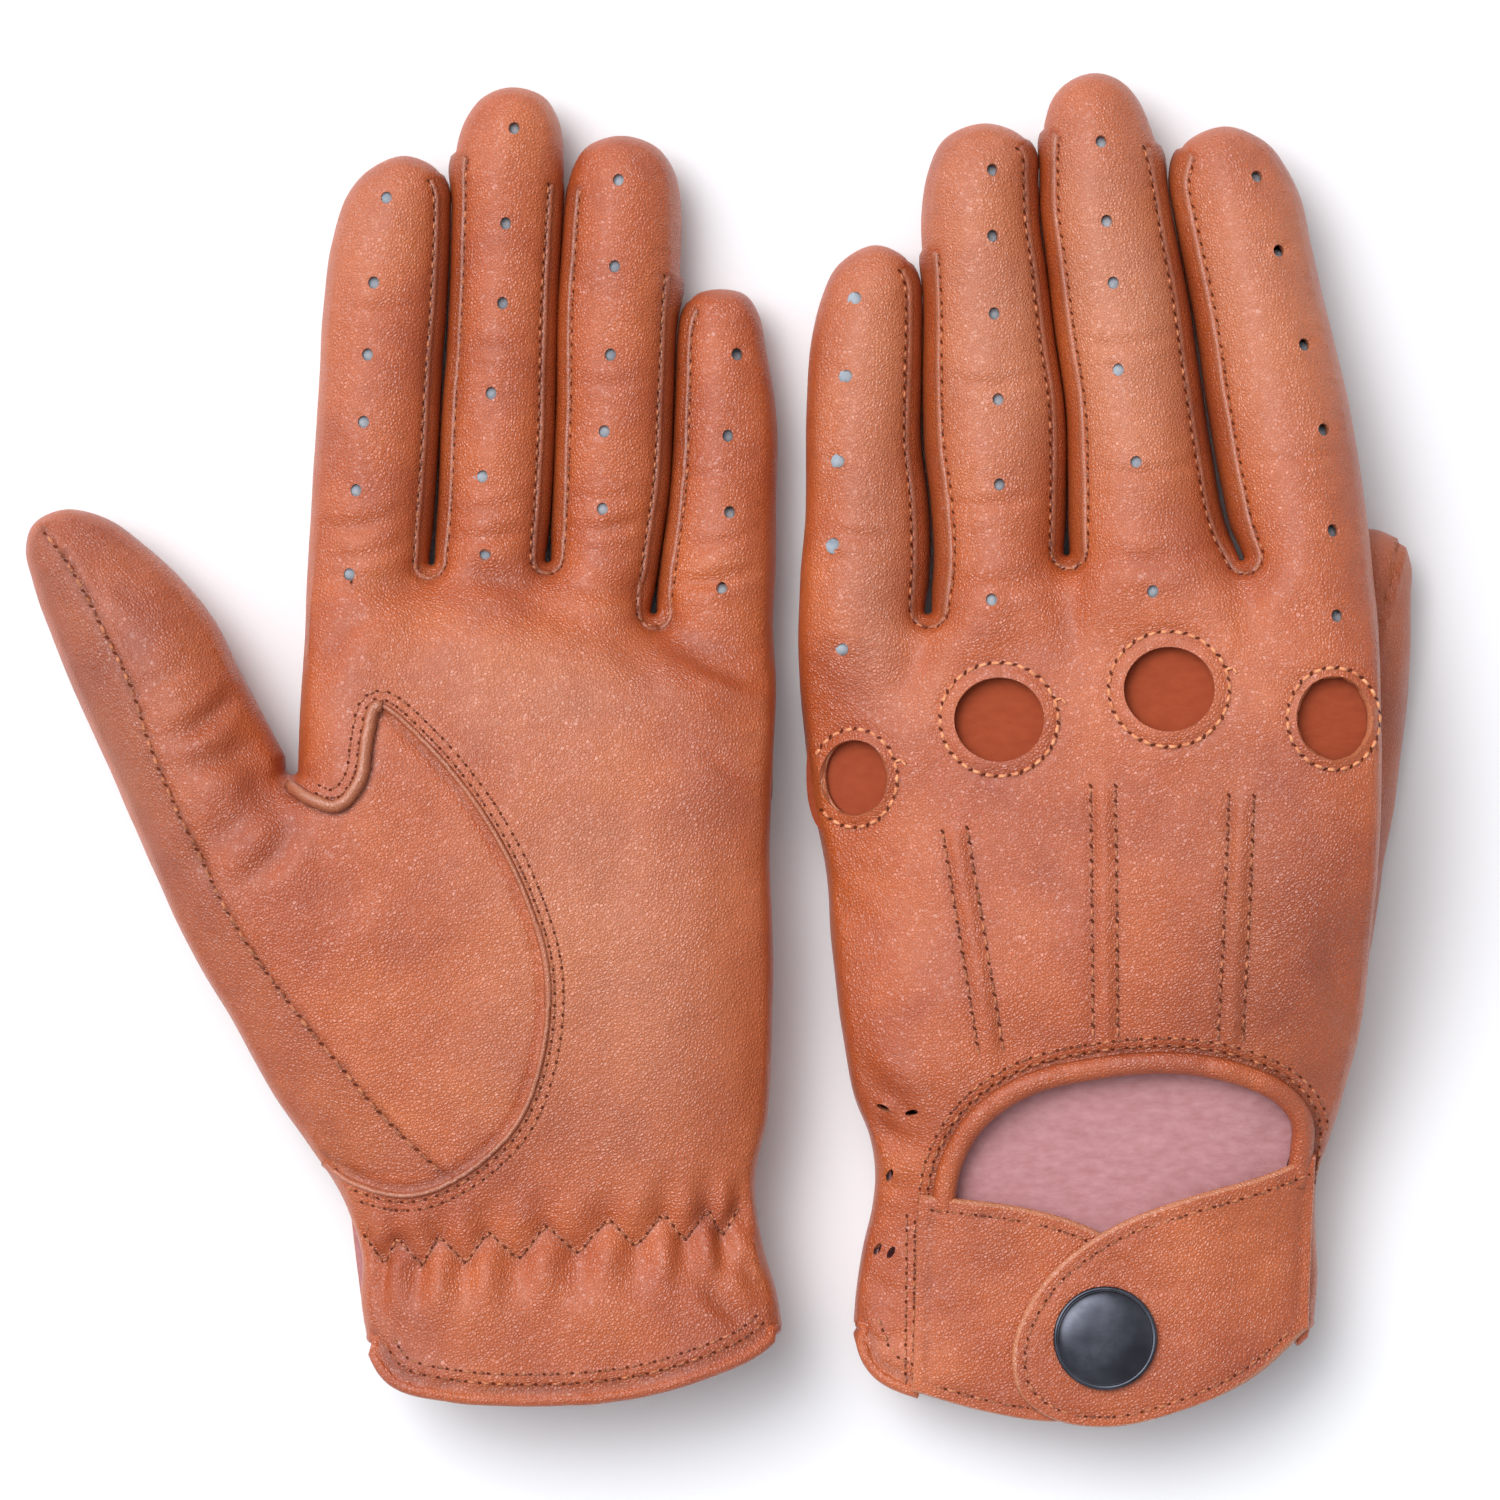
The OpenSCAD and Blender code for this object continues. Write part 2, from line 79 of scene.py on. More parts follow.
# ---------------------------------------------------------------- plans of the two gloves
# cuff, first: the outer edge up to the first fingertip. last: from the last fingertip down to the hem.
# web: middle and radius of the crotch beside the thumb. tips: points round each fingertip.
# slits: [x, y, half width] down between two fingers.
# fingers, thumb: start and end of the middle line as [x, y, z], and half the thickness at each.
PLANS = [
    {
        "name": "glove_a", "back_up": False,
        "cuff": [[-58.2, -97], [-58.9, -91], [-58.7, -84], [-60.2, -78], [-62.6, -72.5], [-67.2, -65.8],
                 [-73.3, -57.3], [-80, -45], [-87.3, -32.8], [-95, -16.3], [-102.4, 0.2], [-109.6, 16.5],
                 [-113.6, 27], [-114.9, 32.5], [-113.4, 37], [-108.5, 39.3], [-101.8, 38], [-95, 33.2],
                 [-88.4, 27], [-83.4, 20.9], [-79, 12.6], [-74.7, 4.4], [-71.6, -1.6]],
        "web": [-70.4, -3.6, 1.1],
        "first": [[-69.3, -1], [-69, 8], [-68.4, 22], [-67.5, 40], [-66.2, 58], [-65.3, 74], [-64.2, 83]],
        "tips": [
            [[-61.6, 91], [-58, 95.4], [-52.2, 97.7], [-47, 95.7], [-44.8, 91.5]],
            [[-43.9, 96], [-42.3, 103.2], [-39.2, 107.5], [-34.4, 109.1], [-29.3, 107.5], [-26.6, 103.2],
             [-25.8, 96]],
            [[-25.3, 91], [-24.4, 95.4], [-22, 99.3], [-16.7, 101.1], [-10.6, 99.5], [-7.4, 95.3],
             [-6.4, 89]],
            [[-5.8, 72.3], [-3.8, 74.9], [0.3, 75.8], [4.4, 74.7], [6.7, 71], [7.6, 66]],
        ],
        "slits": [
            [[-44.4, 89, 0.25], [-44.9, 74, 0.25], [-46, 57, 0.3], [-46.8, 41, 0.4], [-47.6, 30.5, 0.45]],
            [[-26.1, 84, 0.25], [-26.8, 72, 0.25], [-27.1, 55, 0.3], [-27.7, 41, 0.4], [-28.4, 31, 0.45]],
            [[-7, 69, 0.25], [-7.5, 57, 0.3], [-8.2, 43, 0.4], [-9.8, 31, 0.5], [-10.9, 22.5, 0.5]],
        ],
        "last": [[8.7, 60], [9.6, 51], [9.4, 40], [9.1, 30], [8.7, 21], [9.2, 10], [8.7, -2], [8.3, -18],
                 [8.9, -38], [8.7, -52], [7.8, -61.6], [6, -69.5], [6.1, -75], [7.4, -82.3], [9.3, -89.5],
                 [10.2, -95.2]],
        "hem": [[10.2, -95.2], [5.7, -98.8], [-3.5, -102.6], [-14.4, -105.5], [-31, -106.7], [-44.6, -105.8],
                [-53.2, -103.5], [-58.2, -97]],
        # Where each finger begins: its root line from side to side, by the crotches
        "roots": [[-68.2, 25.5], [-47.6, 30], [-28.4, 30.5], [-10.9, 22], [8.9, 19]],
        # The hand alone, without fingers and thumb, for its broad rounding
        "hand": [[-64, -70], [-73, -57.5], [-82.5, -41], [-91, -26], [-99, -10], [-101, 4], [-92, 14],
                 [-78, 24],
                 [-68, 40], [-60, 58], [-30, 68], [0, 62], [9.6, 46], [8.7, 21], [9, 5], [8.3, -18],
                 [8.8, -45],
                 [6.6, -66], [6.4, -78], [10, -92], [9.5, -112], [-58.8, -112], [-59, -88]],
        # [y, lowest z, highest z, rise of the right edge]
        "levels": [[-112, 5.4, 24.5, 0], [-90, 5.4, 24, 0], [-80, 5.4, 23.5, 0], [-72, 5.2, 24, 0],
                   [-54, 1.6, 26, 0], [-30, 0.9, 27.5, 0], [-5, 0.9, 26.5, 0], [20, 0.4, 22.5, 0],
                   [31, 0.2, 20.5, 0]],
        "fingers": [
            [[-57.2, 39.5, 9.7], [-53.5, 89, 8.9], 9.6, 8.8],
            [[-37.5, 39.8, 9.3], [-34.7, 100, 8.5], 9.2, 8.4],
            [[-18.5, 38.4, 9.1], [-16.2, 91.2, 8.8], 9, 8.7],
            [[0.2, 28.8, 8.9], [0.6, 67.4, 7.5], 8.8, 7.4],
        ],
        "thumb": [[-88.2, -1.2, 12.2], [-105.4, 29.5, 9.4], 12, 9.3],
    },
    {
        "name": "glove_b", "back_up": True,
        "cuff": [[22.2, -95], [22.6, -90], [23.6, -83], [25.2, -76], [25.7, -70], [24.9, -64.5], [22, -57.5],
                 [20, -45], [18.7, -33], [17.5, -20], [15.3, -8.5], [14.3, 0], [13.3, 10], [13, 18]],
        "web": None,
        "first": [[13.4, 29], [14.2, 40], [14.5, 54], [15, 66]],
        "tips": [
            [[16.8, 74.5], [19.6, 79.9], [25.4, 83.1], [30.6, 81.2], [33, 77]],
            [[33.3, 87], [34.5, 95.1], [37.4, 100.6], [43.8, 103.1], [49.6, 101.2], [52.3, 97.6]],
            [[53.2, 99.2], [54.9, 107], [58, 110.2], [62, 111.4], [66.2, 110.2], [69.3, 107], [72.3, 99.2]],
            [[74.9, 95], [77, 99.8], [83.4, 102.5], [90.1, 100], [93.9, 95.3]],
        ],
        "slits": [
            [[33.6, 73, 0.3], [33.5, 62, 0.4], [33.6, 50, 0.6], [34.7, 40.7, 0.8], [35.1, 31, 0.9],
             [34.4, 22.5, 0.6]],
            [[52.8, 93, 0.25], [53, 87, 0.2], [53.9, 80, 0.2], [55.3, 68, 0.25], [57, 55.5, 0.3],
             [57.3, 45, 0.4],
             [57.2, 32, 0.45]],
            [[74.2, 92, 0.4], [75.4, 85, 0.5], [77.8, 72, 0.7], [80.1, 55.5, 0.8], [81.6, 46, 0.9],
             [83.6, 36, 0.8], [85.6, 31, 0.5]],
        ],
        "last": [[95.9, 90.5], [97.4, 82.7], [99.2, 74.5], [101.2, 66.2], [103, 58], [104.5, 49.7],
                 [105.8, 41], [106.8, 31], [107.6, 18], [107.7, -9], [107, -26], [105.8, -41],
                 [104.5, -49.3], [102.4, -57.5], [100.3, -65], [98.5, -71], [98.3, -78], [98.8, -88],
                 [98.3, -95]],
        "hem": [[98.3, -95], [93, -98.5], [86, -102.5], [76, -106.3], [62, -108.5], [46, -108.2], [33, -106],
                [25.6, -102.3], [22.2, -95]],
        "roots": [[13, 17.5], [34.4, 22], [57.2, 31.5], [85.6, 30.5], [107, 28.5]],
        "hand": [[25.6, -72], [24, -62], [20.5, -48], [18, -25], [14.5, -4], [13, 15], [13.6, 36],
                 [20, 58], [60, 72], [97, 62], [106, 42], [107.7, 15], [107.7, -9], [105.8, -41],
                 [102.4, -57.5], [98.4, -72], [98.6, -90], [98, -114], [23, -114], [23, -90]],
        "levels": [[-116, 0.3, 19.5, 0], [-86, 0.3, 19.5, 0], [-78, 0.3, 20, 0], [-62, 0.2, 23.3, 0.5],
                   [-50, 0.2, 25.5, 1.5], [-40, 0.4, 27, 3.5], [-31, 0.8, 27.3, 6], [-23, 2.4, 27.2, 8],
                   [-12, 3.6, 26.8, 9], [4, 3.6, 26.3, 9], [18, 3.4, 25, 8.3], [31, 3.2, 23, 7.5]],
        "fingers": [
            [[23.5, 29.4, 9.8], [25.3, 74.2, 8.5], 9.5, 8.4],
            [[45.1, 39.4, 12.2], [43.6, 93.5, 9.5], 10.3, 9.4],
            [[69.9, 41.4, 15.2], [62.8, 102.1, 9.4], 11.3, 9.3],
            [[94.8, 40.2, 17.6], [84.6, 91.2, 10.3], 11, 10.2],
        ],
        "thumb": [[101.8, -17.6, 7.3], [107.3, 28, 7.5], 7.2, 7.4],
    },
]


def finger_name(plan, i):
    """Name of the i-th finger from the left."""
    return FINGERS[3 - i] if plan["back_up"] else FINGERS[i]


# Back features are placed by [u, y]: u runs from -1 at the little finger's edge to +1 at the index's.
HAND_MID = [[[-116, -25], [-75, -26.5], [-50, -30], [31, -30]], [[-116, 60.5], [31, 60]]]
HAND_HALF = [
    [[-116, 34], [-85, 33.5], [-60, 37], [-40, 39], [31, 39]],
    [[-116, 37], [-75, 37], [-50, 43], [-20, 46], [31, 47]],
]
KNUCKLE_HOLES = [  # u, y, half width, half length, and the same of the stitched ring
    [-0.82, -5.2, 5.5, 6.3, 7, 8.1], [-0.31, 4.4, 7.3, 6.9, 9.6, 9.3],
    [0.28, 9.3, 7.3, 6.9, 9.7, 9.4], [0.85, 4.5, 6.2, 6.9, 7.6, 8.3],
]
# The three ridges, from end to end; the wrist opening's bound arch, and its sides under the straps
RIDGES = [[-0.47, -13.6, -0.37, -50.5], [0.05, -6.4, 0.06, -47.8], [0.53, -8, 0.53, -48.4]]
ARCH = [[-0.6, -77], [-0.59, -73], [-0.54, -68], [-0.42, -61.5], [-0.23, -56.5], [0.06, -53.6], [0.34, -52.9],
        [0.57, -54.6], [0.74, -57.6], [0.84, -61.6], [0.87, -66.6], [0.88, -72]]
OPENING_SIDES = [[0.89, -120], [-0.73, -120], [-0.7, -79]]
# The lower and the upper strap tab, from one end of the sewn side round to the other, and the snap
STRAP_BASE = [[-0.74, -73.3], [-0.26, -75.6], [0.05, -79.5], [0.27, -86], [0.32, -99], [0.2, -109],
              [-0.15, -110.6], [-0.45, -109], [-0.78, -105.6]]
STRAP_TAB = [[0.96, -66.8], [0.75, -70.2], [0.42, -73.8], [0.1, -78.6], [-0.14, -85], [-0.28, -92],
             [-0.34, -99], [-0.31, -105.5], [-0.16, -110], [0.1, -111.3], [0.43, -108.4], [0.73, -103.3],
             [0.98, -95.5]]
SNAP = [0.07, -96.6]
# The strap's fold, as [x, z]
STRAP_FOLD = [[-61.5, 5.5], [96.7, 16.5]]

# Ventilation holes, as seen from above
VENT_R = 0.95
VENTS = [
    [[-54.7, 90.2], [-56.7, 76.1], [-57.7, 64.3], [-58.3, 53.2], [-59.6, 42], [-60.6, 28.2],
     [-33.7, 101.6], [-35.1, 85.9], [-35.6, 72.8], [-37.5, 58], [-38.9, 44.3], [-38.4, 31.4],
     [-16.6, 93.1], [-17.2, 78.8], [-17.9, 64.3], [-18.9, 51.7], [-19.2, 39],
     [2.9, 64.6], [1.4, 51.1], [1.7, 38.5], [0.4, 26]],
    [[22.4, 73.7], [20.9, 60.8], [19.6, 46.8], [18.7, 33.2], [20.2, 15.9],
     [44.8, 94.6], [44.8, 83.7], [45, 70.9], [45.6, 56.8], [45.8, 42.8], [44.5, 24],
     [62.6, 99.2], [63.4, 86], [64.4, 75.8], [65.1, 61.5], [67.9, 46.3], [70.5, 25.2],
     [88.2, 93.5], [91.5, 81.1], [95.5, 65.6], [98.4, 51.6], [99.7, 35.1], [100.2, 21.2]],
]
# Short slits at the wrist: place and turn in degrees; and their half length and half width
WRIST_SLITS = [[-0.82, -59.2, -25], [-0.71, -59.9, 15], [-0.91, -69.5, 20], [-0.85, -70.4, 60],
               [-0.93, -82.6, 60], [-0.87, -83.1, 60]]
WRIST_SLIT_SIZE = (1.15, 0.5)
# The thumb's gusset in the palm, by [u, y], from the thumb's crotch over its peak to the wrist
GUSSET = [[1.03, -6.4], [0.92, -8.8], [0.82, -9.6], [0.73, -5.5], [0.7, 1.6], [0.66, 6.6],
          [0.45, 0.2], [0.2, -12.1], [0.03, -25.3], [-0.05, -36.9], [-0.03, -50.1], [0.13, -61.6],
          [0.42, -70], [0.68, -73.2], [0.92, -71.4], [1.06, -67.8]]
GUSSET_PEAK = [0.66, 6.6]
# The long seam up glove a's thumb
THUMB_SEAM = [[-112.6, 37.8], [-111.4, 36.2], [-106.7, 30.3], [-99.6, 17.4], [-95.9, 10.1], [-92.5, 0.1],
              [-88.9, -8.5], [-85.6, -15.2], [-81.2, -24.1], [-75.3, -33.9], [-67.9, -44], [-60.5, -53],
              [-52.9, -61.8], [-44.8, -69.4]]
# Glove a's thumb: how far it starts behind its hinge, its limit to the right of its axis, and in x;
# the index finger starts at INDEX_LEFT
THUMB_ROOT, THUMB_SIDE, THUMB_RIGHT, INDEX_LEFT = 12, 15.5, -66, -70.5
# Rows of stitches beside the straps' sewn ends
STRAP_END_ROWS = [[[-0.765, -78], [-0.775, -106]], [[-0.8, -77], [-0.81, -105.2]],
                  [[0.905, -70.5], [0.9, -75], [0.94, -93.5]], [[0.93, -71.5], [0.93, -76], [0.965, -93]]]
# Linings seen through the knuckle holes and the wrist opening
HAND_LINING = [[-0.94, -14], [-0.94, 6], [-0.6, 17], [0, 21], [0.5, 22], [0.94, 17], [0.97, 4], [0.95, -8],
               [0.5, -5], [0, -7], [-0.5, -12]]
OPENING_LINING = [[-0.66, -100], [-0.7, -88], [-0.72, -74], [-0.66, -60], [-0.4, -51], [0.1, -47], [0.6, -49],
                  [0.84, -56], [0.85, -72], [0.82, -88], [0.8, -99], [0.4, -103], [-0.2, -103]]
# The thumb under glove b: x, y, height of its middle line and half width; and the seam along it
THUMB_TUBE = [[96, -38, 9.4, 7.5], [98, -33, 9.0, 9.2], [100, -26, 8.4, 9.0], [101.8, -17.6, 7.7, 8.3],
              [104.5, -8, 7.4, 7.4], [106.7, 10, 7.4, 7.4], [107.3, 28, 7.5, 7.5]]
THUMB_TUBE_SEAM = [[112.4, 33.5], [110.2, 26], [107, 14], [105.2, 8]]
# Turning points of the elastic's stitching, by u
ZIGZAG_U = [0.93, 0.776, 0.57, 0.335, 0.057, -0.24, -0.502, -0.71, -0.855]
# Soft swellings and hollows of the upper face: place, radii and height
PADS = [
    [[-60, 20, 9, 8, 1.0], [-47.5, 23, 6, 6, -1.0], [-38, 19, 9, 6, 0.6], [-28, 24, 6, 5, -0.7],
     [-19, 22, 6, 4, 0.5], [-12, 17, 5, 5, -0.8], [-3, 9.5, 9, 4, 0.9], [2, -6, 8, 4, 0.4],
     [-86, 10, 6, 5, 0.7], [-81, -8, 7, 6, 0.6], [-46, -91, 9, 4, 0.7], [-20, -92, 10, 4, 0.5],
     [-52, -88, 5, 4, -0.6]],
    [[28, -2, 6, 10, 0.5], [33, 15, 5, 8, -0.8], [45, 24, 6, 7, 0.5], [58, 24, 4, 7, -0.8],
     [72, 26, 8, 7, 0.5], [86, 24, 4, 7, -0.7], [30, -54, 8, 5, 0.8], [27, -63, 6, 4, -0.8],
     [31, -70, 5, 5, 0.6]],
]
# Painted light and shade on the upper face, paler where light falls and darker where it falls off: place,
# radii and amount
PAINTED_LIGHT_AND_SHADE = [
    [[-20, -30, 24, 40, 0.4], [-38, 10, 26, 9, 0.2], [-98, 18, 18, 50, -0.28], [-30, -98, 45, 12, -0.12],
     [-57, 88, 12, 12, 0.2]],
    [[62, 72, 42, 32, 0.5], [90, -40, 15, 36, -0.3], [27, 30, 9, 30, 0.3], [62, -20, 20, 30, -0.05]],
]
# Creases: from, to, width and depth
CREASES = [
    [[-66, 36, -51, 39, 1.2, 0.45], [-64, 31, -52, 33, 0.9, 0.35], [-45, 34.5, -31, 36, 1.0, 0.45],
     [-44, 39, -32, 41, 0.8, 0.25], [-26, 36, -11, 38, 1.0, 0.45], [-26, 41.5, -13, 42, 0.8, 0.25],
     [-8.5, 27, 7.5, 30, 1.0, 0.45], [-7.5, 33, 7, 36, 0.9, 0.3], [-8, 45, 6, 47, 0.8, 0.2],
     [-10.5, 19, 8.5, 9.5, 2.2, 0.9], [-9, 14, 8, 4, 1.6, 0.45], [-13, 17.5, -40, 22, 2.6, 0.5],
     [-30, 26, -46, 25, 2.2, 0.5], [-48, 26, -66, 14, 2.6, 0.45], [-3, 0, 9, -7.5, 1.2, 0.4],
     [-4, -84, 5, -95, 1.5, 0.8], [1, -79, 8.5, -90, 1.2, 0.5], [-72, -8, -88, -24, 3.0, 0.6],
     [-88, -12, -78, -24, 1.6, 0.35], [-60, -84, -48, -79, 1.4, 0.4], [-64, -60, -58, -72, 1.6, 0.5],
     [-100, 28, -92, 22, 1.2, 0.25], [-80, 2, -66, -16, 2.4, 0.5], [-69, 8, -60, 22, 2.2, 0.35],
     [-62, 72, -49, 73, 1.0, 0.2], [-42, 66, -30, 67, 1.0, 0.2], [-24, 60, -11, 61, 1.0, 0.2],
     [-90, 1, -79, 9.5, 1.6, 0.9], [-87, -3, -76, 0.5, 1.8, 0.6], [-78, -22, -69, -12, 2.2, 0.9],
     [-96, 9, -86, 15, 1.6, 0.4], [-63, 27.5, -46, 28.5, 2.2, 0.7], [-43, 30.5, -28, 27, 2.0, 0.7],
     [-25, 27, -11, 26, 2.0, 0.7], [-13, 25, 7, 13.5, 2.8, 1.1], [-8, 27, 3, 29, 1.4, 0.4]],
    [[16, 36, 31, 35, 1.0, 0.35], [36, 40, 54, 42, 1.1, 0.35], [37, 60, 53, 61, 1.1, 0.35],
     [60, 45, 79, 47, 1.0, 0.35], [58, 66, 75, 68, 1.0, 0.3], [86, 47, 103, 49, 1.0, 0.25],
     [60, 31, 82, 33, 1.6, 0.4], [37, 27, 54, 28, 1.6, 0.4], [22, -50, 33, -60, 2.2, 0.6],
     [24, -60, 33, -66, 1.6, 0.5], [34, -50, 40, -62, 1.8, 0.4], [24, -70, 32, -72, 1.4, 0.4],
     [98, -30, 105, -48, 2.2, 0.5], [94, -50, 103, -58, 1.6, 0.45], [17, -22, 26, -30, 2.0, 0.4],
     [88, 12, 106, 10, 2.0, 0.3], [30, 14, 55, 18, 2.6, 0.3], [60, 17, 84, 20, 2.4, 0.3],
     [34.4, 19, 30, 6, 2.2, 0.5], [57.2, 28, 58, 14, 2.4, 0.5], [86, 28, 88, 15, 2.4, 0.45],
     [23, -86, 30, -90, 1.2, 0.3], [24, -98, 31, -96, 1.2, 0.3]],
]

# Cross-section of a raised seam: two cut edges of leather, side by side, leaning outward
LIPS = [
    [[-0.35, -0.3], [0.35, -0.35], [0.6, -0.1], [0.6, 0.22], [0.42, 0.4], [0.05, 0.42], [-0.3, 0.2]],
    [[-0.4, -0.35], [0.9, -0.75], [1.3, -0.6], [1.36, -0.25], [1.15, 0.05], [0.4, 0.22], [-0.35, 0.12]],
]
# Shade at each corner of these sections: above 0 towards the paler colour of a cut edge, below 0 darker
LIP_SHADES = [[0, -0.1, -0.05, 0.1, 0.05, -0.1, -0.2], [0, 0.0, 0.25, 0.35, 0.25, 0.15, 0]]
# The thumb gusset's lip, the thicker welt at the thumb's crotch, and the binding round the wrist opening; all
# three darken towards their feet and undersides as painted shade, and the lip and welt are paler on top at
# their cut edges
GUSSET_LIP = [[-0.5, -0.4], [0.45, -0.4], [0.58, 0.1], [0.48, 0.45], [0.1, 0.5], [-0.3, 0.35], [-0.5, 0.0]]
GUSSET_LIP_SHADES = [-0.6, -0.3, 0.15, 0.3, 0.2, 0.1, -0.3]
WELT = [[-1.0, -0.5], [0.9, -0.5], [1.1, 0.1], [0.95, 0.85], [0.2, 1.1], [-0.7, 0.95], [-1.0, 0.2]]
WELT_SHADES = [-0.5, -0.2, 0.2, 0.4, 0.3, 0.2, -0.3]
BINDING = [[-0.2, -1.5], [-0.5, -0.6], [-0.42, 0.35], [0.05, 1.0], [0.8, 1.36], [1.6, 1.42], [2.4, 1.15],
           [3.0, 0.6], [3.25, 0.0], [3.0, -0.4], [0.9, -1.8]]
BINDING_SHADES = [-0.5, -0.3, -0.12, 0, 0.04, 0.04, 0, -0.12, -0.35, -0.5, -0.5]


# ---------------------------------------------------------------- curves and number helpers
def smooth(low, high, x):
    t = np.clip((x - low) / (high - low), 0, 1)
    return t * t * (3 - 2 * t)


def evenly(points, step):
    """The same line with points at an even spacing."""
    length = np.r_[0, np.cumsum(np.linalg.norm(np.diff(points, axis=0), axis=1))]
    count = max(2, int(round(length[-1] / step)) + 1)
    at = np.linspace(0, length[-1], count)
    return np.stack([np.interp(at, length, points[:, k]) for k in range(points.shape[1])], axis=1)


def curve(points, step=0.8, closed=False):
    """Points along a smooth curve through the given ones."""
    p = np.array(points, float)
    if closed:
        p = np.vstack([p[-2:], p, p[:3]])
    chord = np.sqrt(np.linalg.norm(np.diff(p[:, :2], axis=0), axis=1)) + 1e-9
    t = np.r_[0, np.cumsum(chord)]
    slope = np.gradient(p, t, axis=0)
    out = []
    for i in range(len(p) - 1):
        h = t[i + 1] - t[i]
        s = np.linspace(0, 1, 14, endpoint=False)[:, None]
        out.append(
            (2 * s**3 - 3 * s**2 + 1) * p[i] + (s**3 - 2 * s**2 + s) * h * slope[i]
            + (3 * s**2 - 2 * s**3) * p[i + 1] + (s**3 - s**2) * h * slope[i + 1]
        )
    if closed:
        return evenly(np.vstack(out[2:-2] + [p[-3:-2]]), step)[:-1]
    return evenly(np.vstack(out + [p[-1:]]), step)


def normals_2d(line, closed=False):
    """Unit normals to the right of a line's direction."""
    if closed:
        d = np.roll(line, -1, axis=0) - np.roll(line, 1, axis=0)
    else:
        d = np.gradient(line, axis=0)
    d /= np.linalg.norm(d, axis=1)[:, None] + 1e-12
    return np.stack([d[:, 1], -d[:, 0]], axis=1)


def inside(points, polygon):
    """Which points lie in a closed polygon."""
    result = np.zeros(len(points), bool)
    x, y = points[:, 0], points[:, 1]
    for (x0, y0), (x1, y1) in zip(polygon, np.roll(polygon, -1, axis=0)):
        if y0 == y1:
            continue
        crosses = (y0 > y) != (y1 > y)
        result[crosses] ^= x[crosses] < (x1 - x0) * (y[crosses] - y0) / (y1 - y0) + x0
    return result


class Near:
    """Distance to a densely sampled line."""

    def __init__(self, line):
        self.line = np.asarray(line, float)
        self.tree = KDTree(len(line))
        for i, p in enumerate(self.line):
            self.tree.insert((p[0], p[1], 0), i)
        self.tree.balance()

    def __call__(self, points):
        found = [self.tree.find((p[0], p[1], 0)) for p in points]
        self.index = np.array([f[1] for f in found])
        return np.array([f[2] for f in found])


def triangulate(loops, lines, spacing):
    """Triangles inside the first closed loop and outside the others, with edges along the open lines.

    Gives the points, the triangles and where each point of the loops, in order, has gone.
    """
    given, edges = [], []
    for line, closed in [(loop, True) for loop in loops] + [(line, False) for line in lines]:
        base, count = len(given), len(line)
        given += [Vector(p) for p in line]
        edges += [(base + i, base + (i + 1) % count) for i in range(count if closed else count - 1)]
    low, high = loops[0].min(0), loops[0].max(0)
    grid = []
    for k, y in enumerate(np.arange(low[1], high[1], spacing * 0.866)):
        x = np.arange(low[0] + (k % 2) * spacing / 2, high[0], spacing)
        grid.append(np.column_stack([x, np.full(len(x), y)]))
    grid = np.vstack(grid)
    grid = grid[inside(grid, loops[0])]
    grid = grid[Near(np.array([tuple(p) for p in given]))(grid) > spacing * 0.55]
    out = delaunay_2d_cdt(given + [Vector(p) for p in grid], edges, [], 0, 1e-5, True)
    flat, tris = np.array([[v.x, v.y] for v in out[0]]), np.array(out[2])
    centre = flat[tris].mean(axis=1)
    good = inside(centre, loops[0])
    for loop in loops[1:]:
        good &= ~inside(centre, loop)
    tris = tris[good]
    a, b, c = (flat[tris[:, k]] for k in range(3))
    area = (b[:, 0] - a[:, 0]) * (c[:, 1] - a[:, 1]) - (b[:, 1] - a[:, 1]) * (c[:, 0] - a[:, 0])
    tris[area < 0] = tris[area < 0][:, ::-1]
    tris = tris[np.abs(area) > 1e-7]
    where = {}
    for new, olds in enumerate(out[3]):
        for old in olds:
            where.setdefault(old, new)
    ends = [where[i] for i in range(sum(len(loop) for loop in loops))]
    used, index = np.unique(np.concatenate([tris.ravel(), ends]), return_inverse=True)
    return flat[used], index[: tris.size].reshape(-1, 3), [int(i) for i in index[tris.size :]]


def relaxed(values, tris, strength, rounds):
    """Values at the corners of triangles, drawn towards their neighbours' mean."""
    a, b = np.concatenate([tris[:, p] for p in ([0, 1], [1, 2], [2, 0], [1, 0], [2, 1], [0, 2])]).T
    count = np.bincount(a, minlength=len(values)) + 1e-9
    for _ in range(rounds):
        mean = np.bincount(a, weights=values[b], minlength=len(values)) / count
        values = values + (mean - values) * strength * (count > 1)
    return values


def runs(flags):
    """Start and end of each stretch of True."""
    edge = np.flatnonzero(np.diff(np.r_[0, flags.astype(int), 0]))
    return list(zip(edge[::2], edge[1::2]))


def offset(line, distance):
    """A plan line moved to its right."""
    return line + normals_2d(line) * distance


def signed_area(line):
    x, y = line[:, 0], line[:, 1]
    return 0.5 * np.sum(x * np.roll(y, -1) - np.roll(x, -1) * y)


def bulge(t, power=2.0):
    """Height of a rounded edge, from 0 at the edge to 1 where t reaches 1."""
    t = np.clip(t, 0, 1)
    return (1 - (1 - t) ** power) ** (1 / power)


def hump(x, width, power=2):
    """A soft bump: 1 where x is 0, fading over the width."""
    return np.exp(-((x / width) ** power))


def unit(v):
    return v / np.linalg.norm(v)


def right_of(d):
    """The plan direction to the right of another."""
    return np.array([d[1], -d[0]])


def turns(count, start=0.0):
    """Evenly spaced angles of one full turn."""
    return np.linspace(0, 2 * math.pi, count, endpoint=False) + start


def oval(centre, rx, ry, angles):
    return np.stack([centre[0] + rx * np.cos(angles), centre[1] + ry * np.sin(angles)], axis=1)


def beside_line(p, line, reach):
    """Which points lie within reach of a line, and their distance to its right."""
    near = Near(line)
    d = near(p)
    signed = np.einsum("ij,ij->i", p - near.line[near.index], normals_2d(near.line)[near.index])
    hit = d < reach
    return hit, (np.sign(signed) * d)[hit]


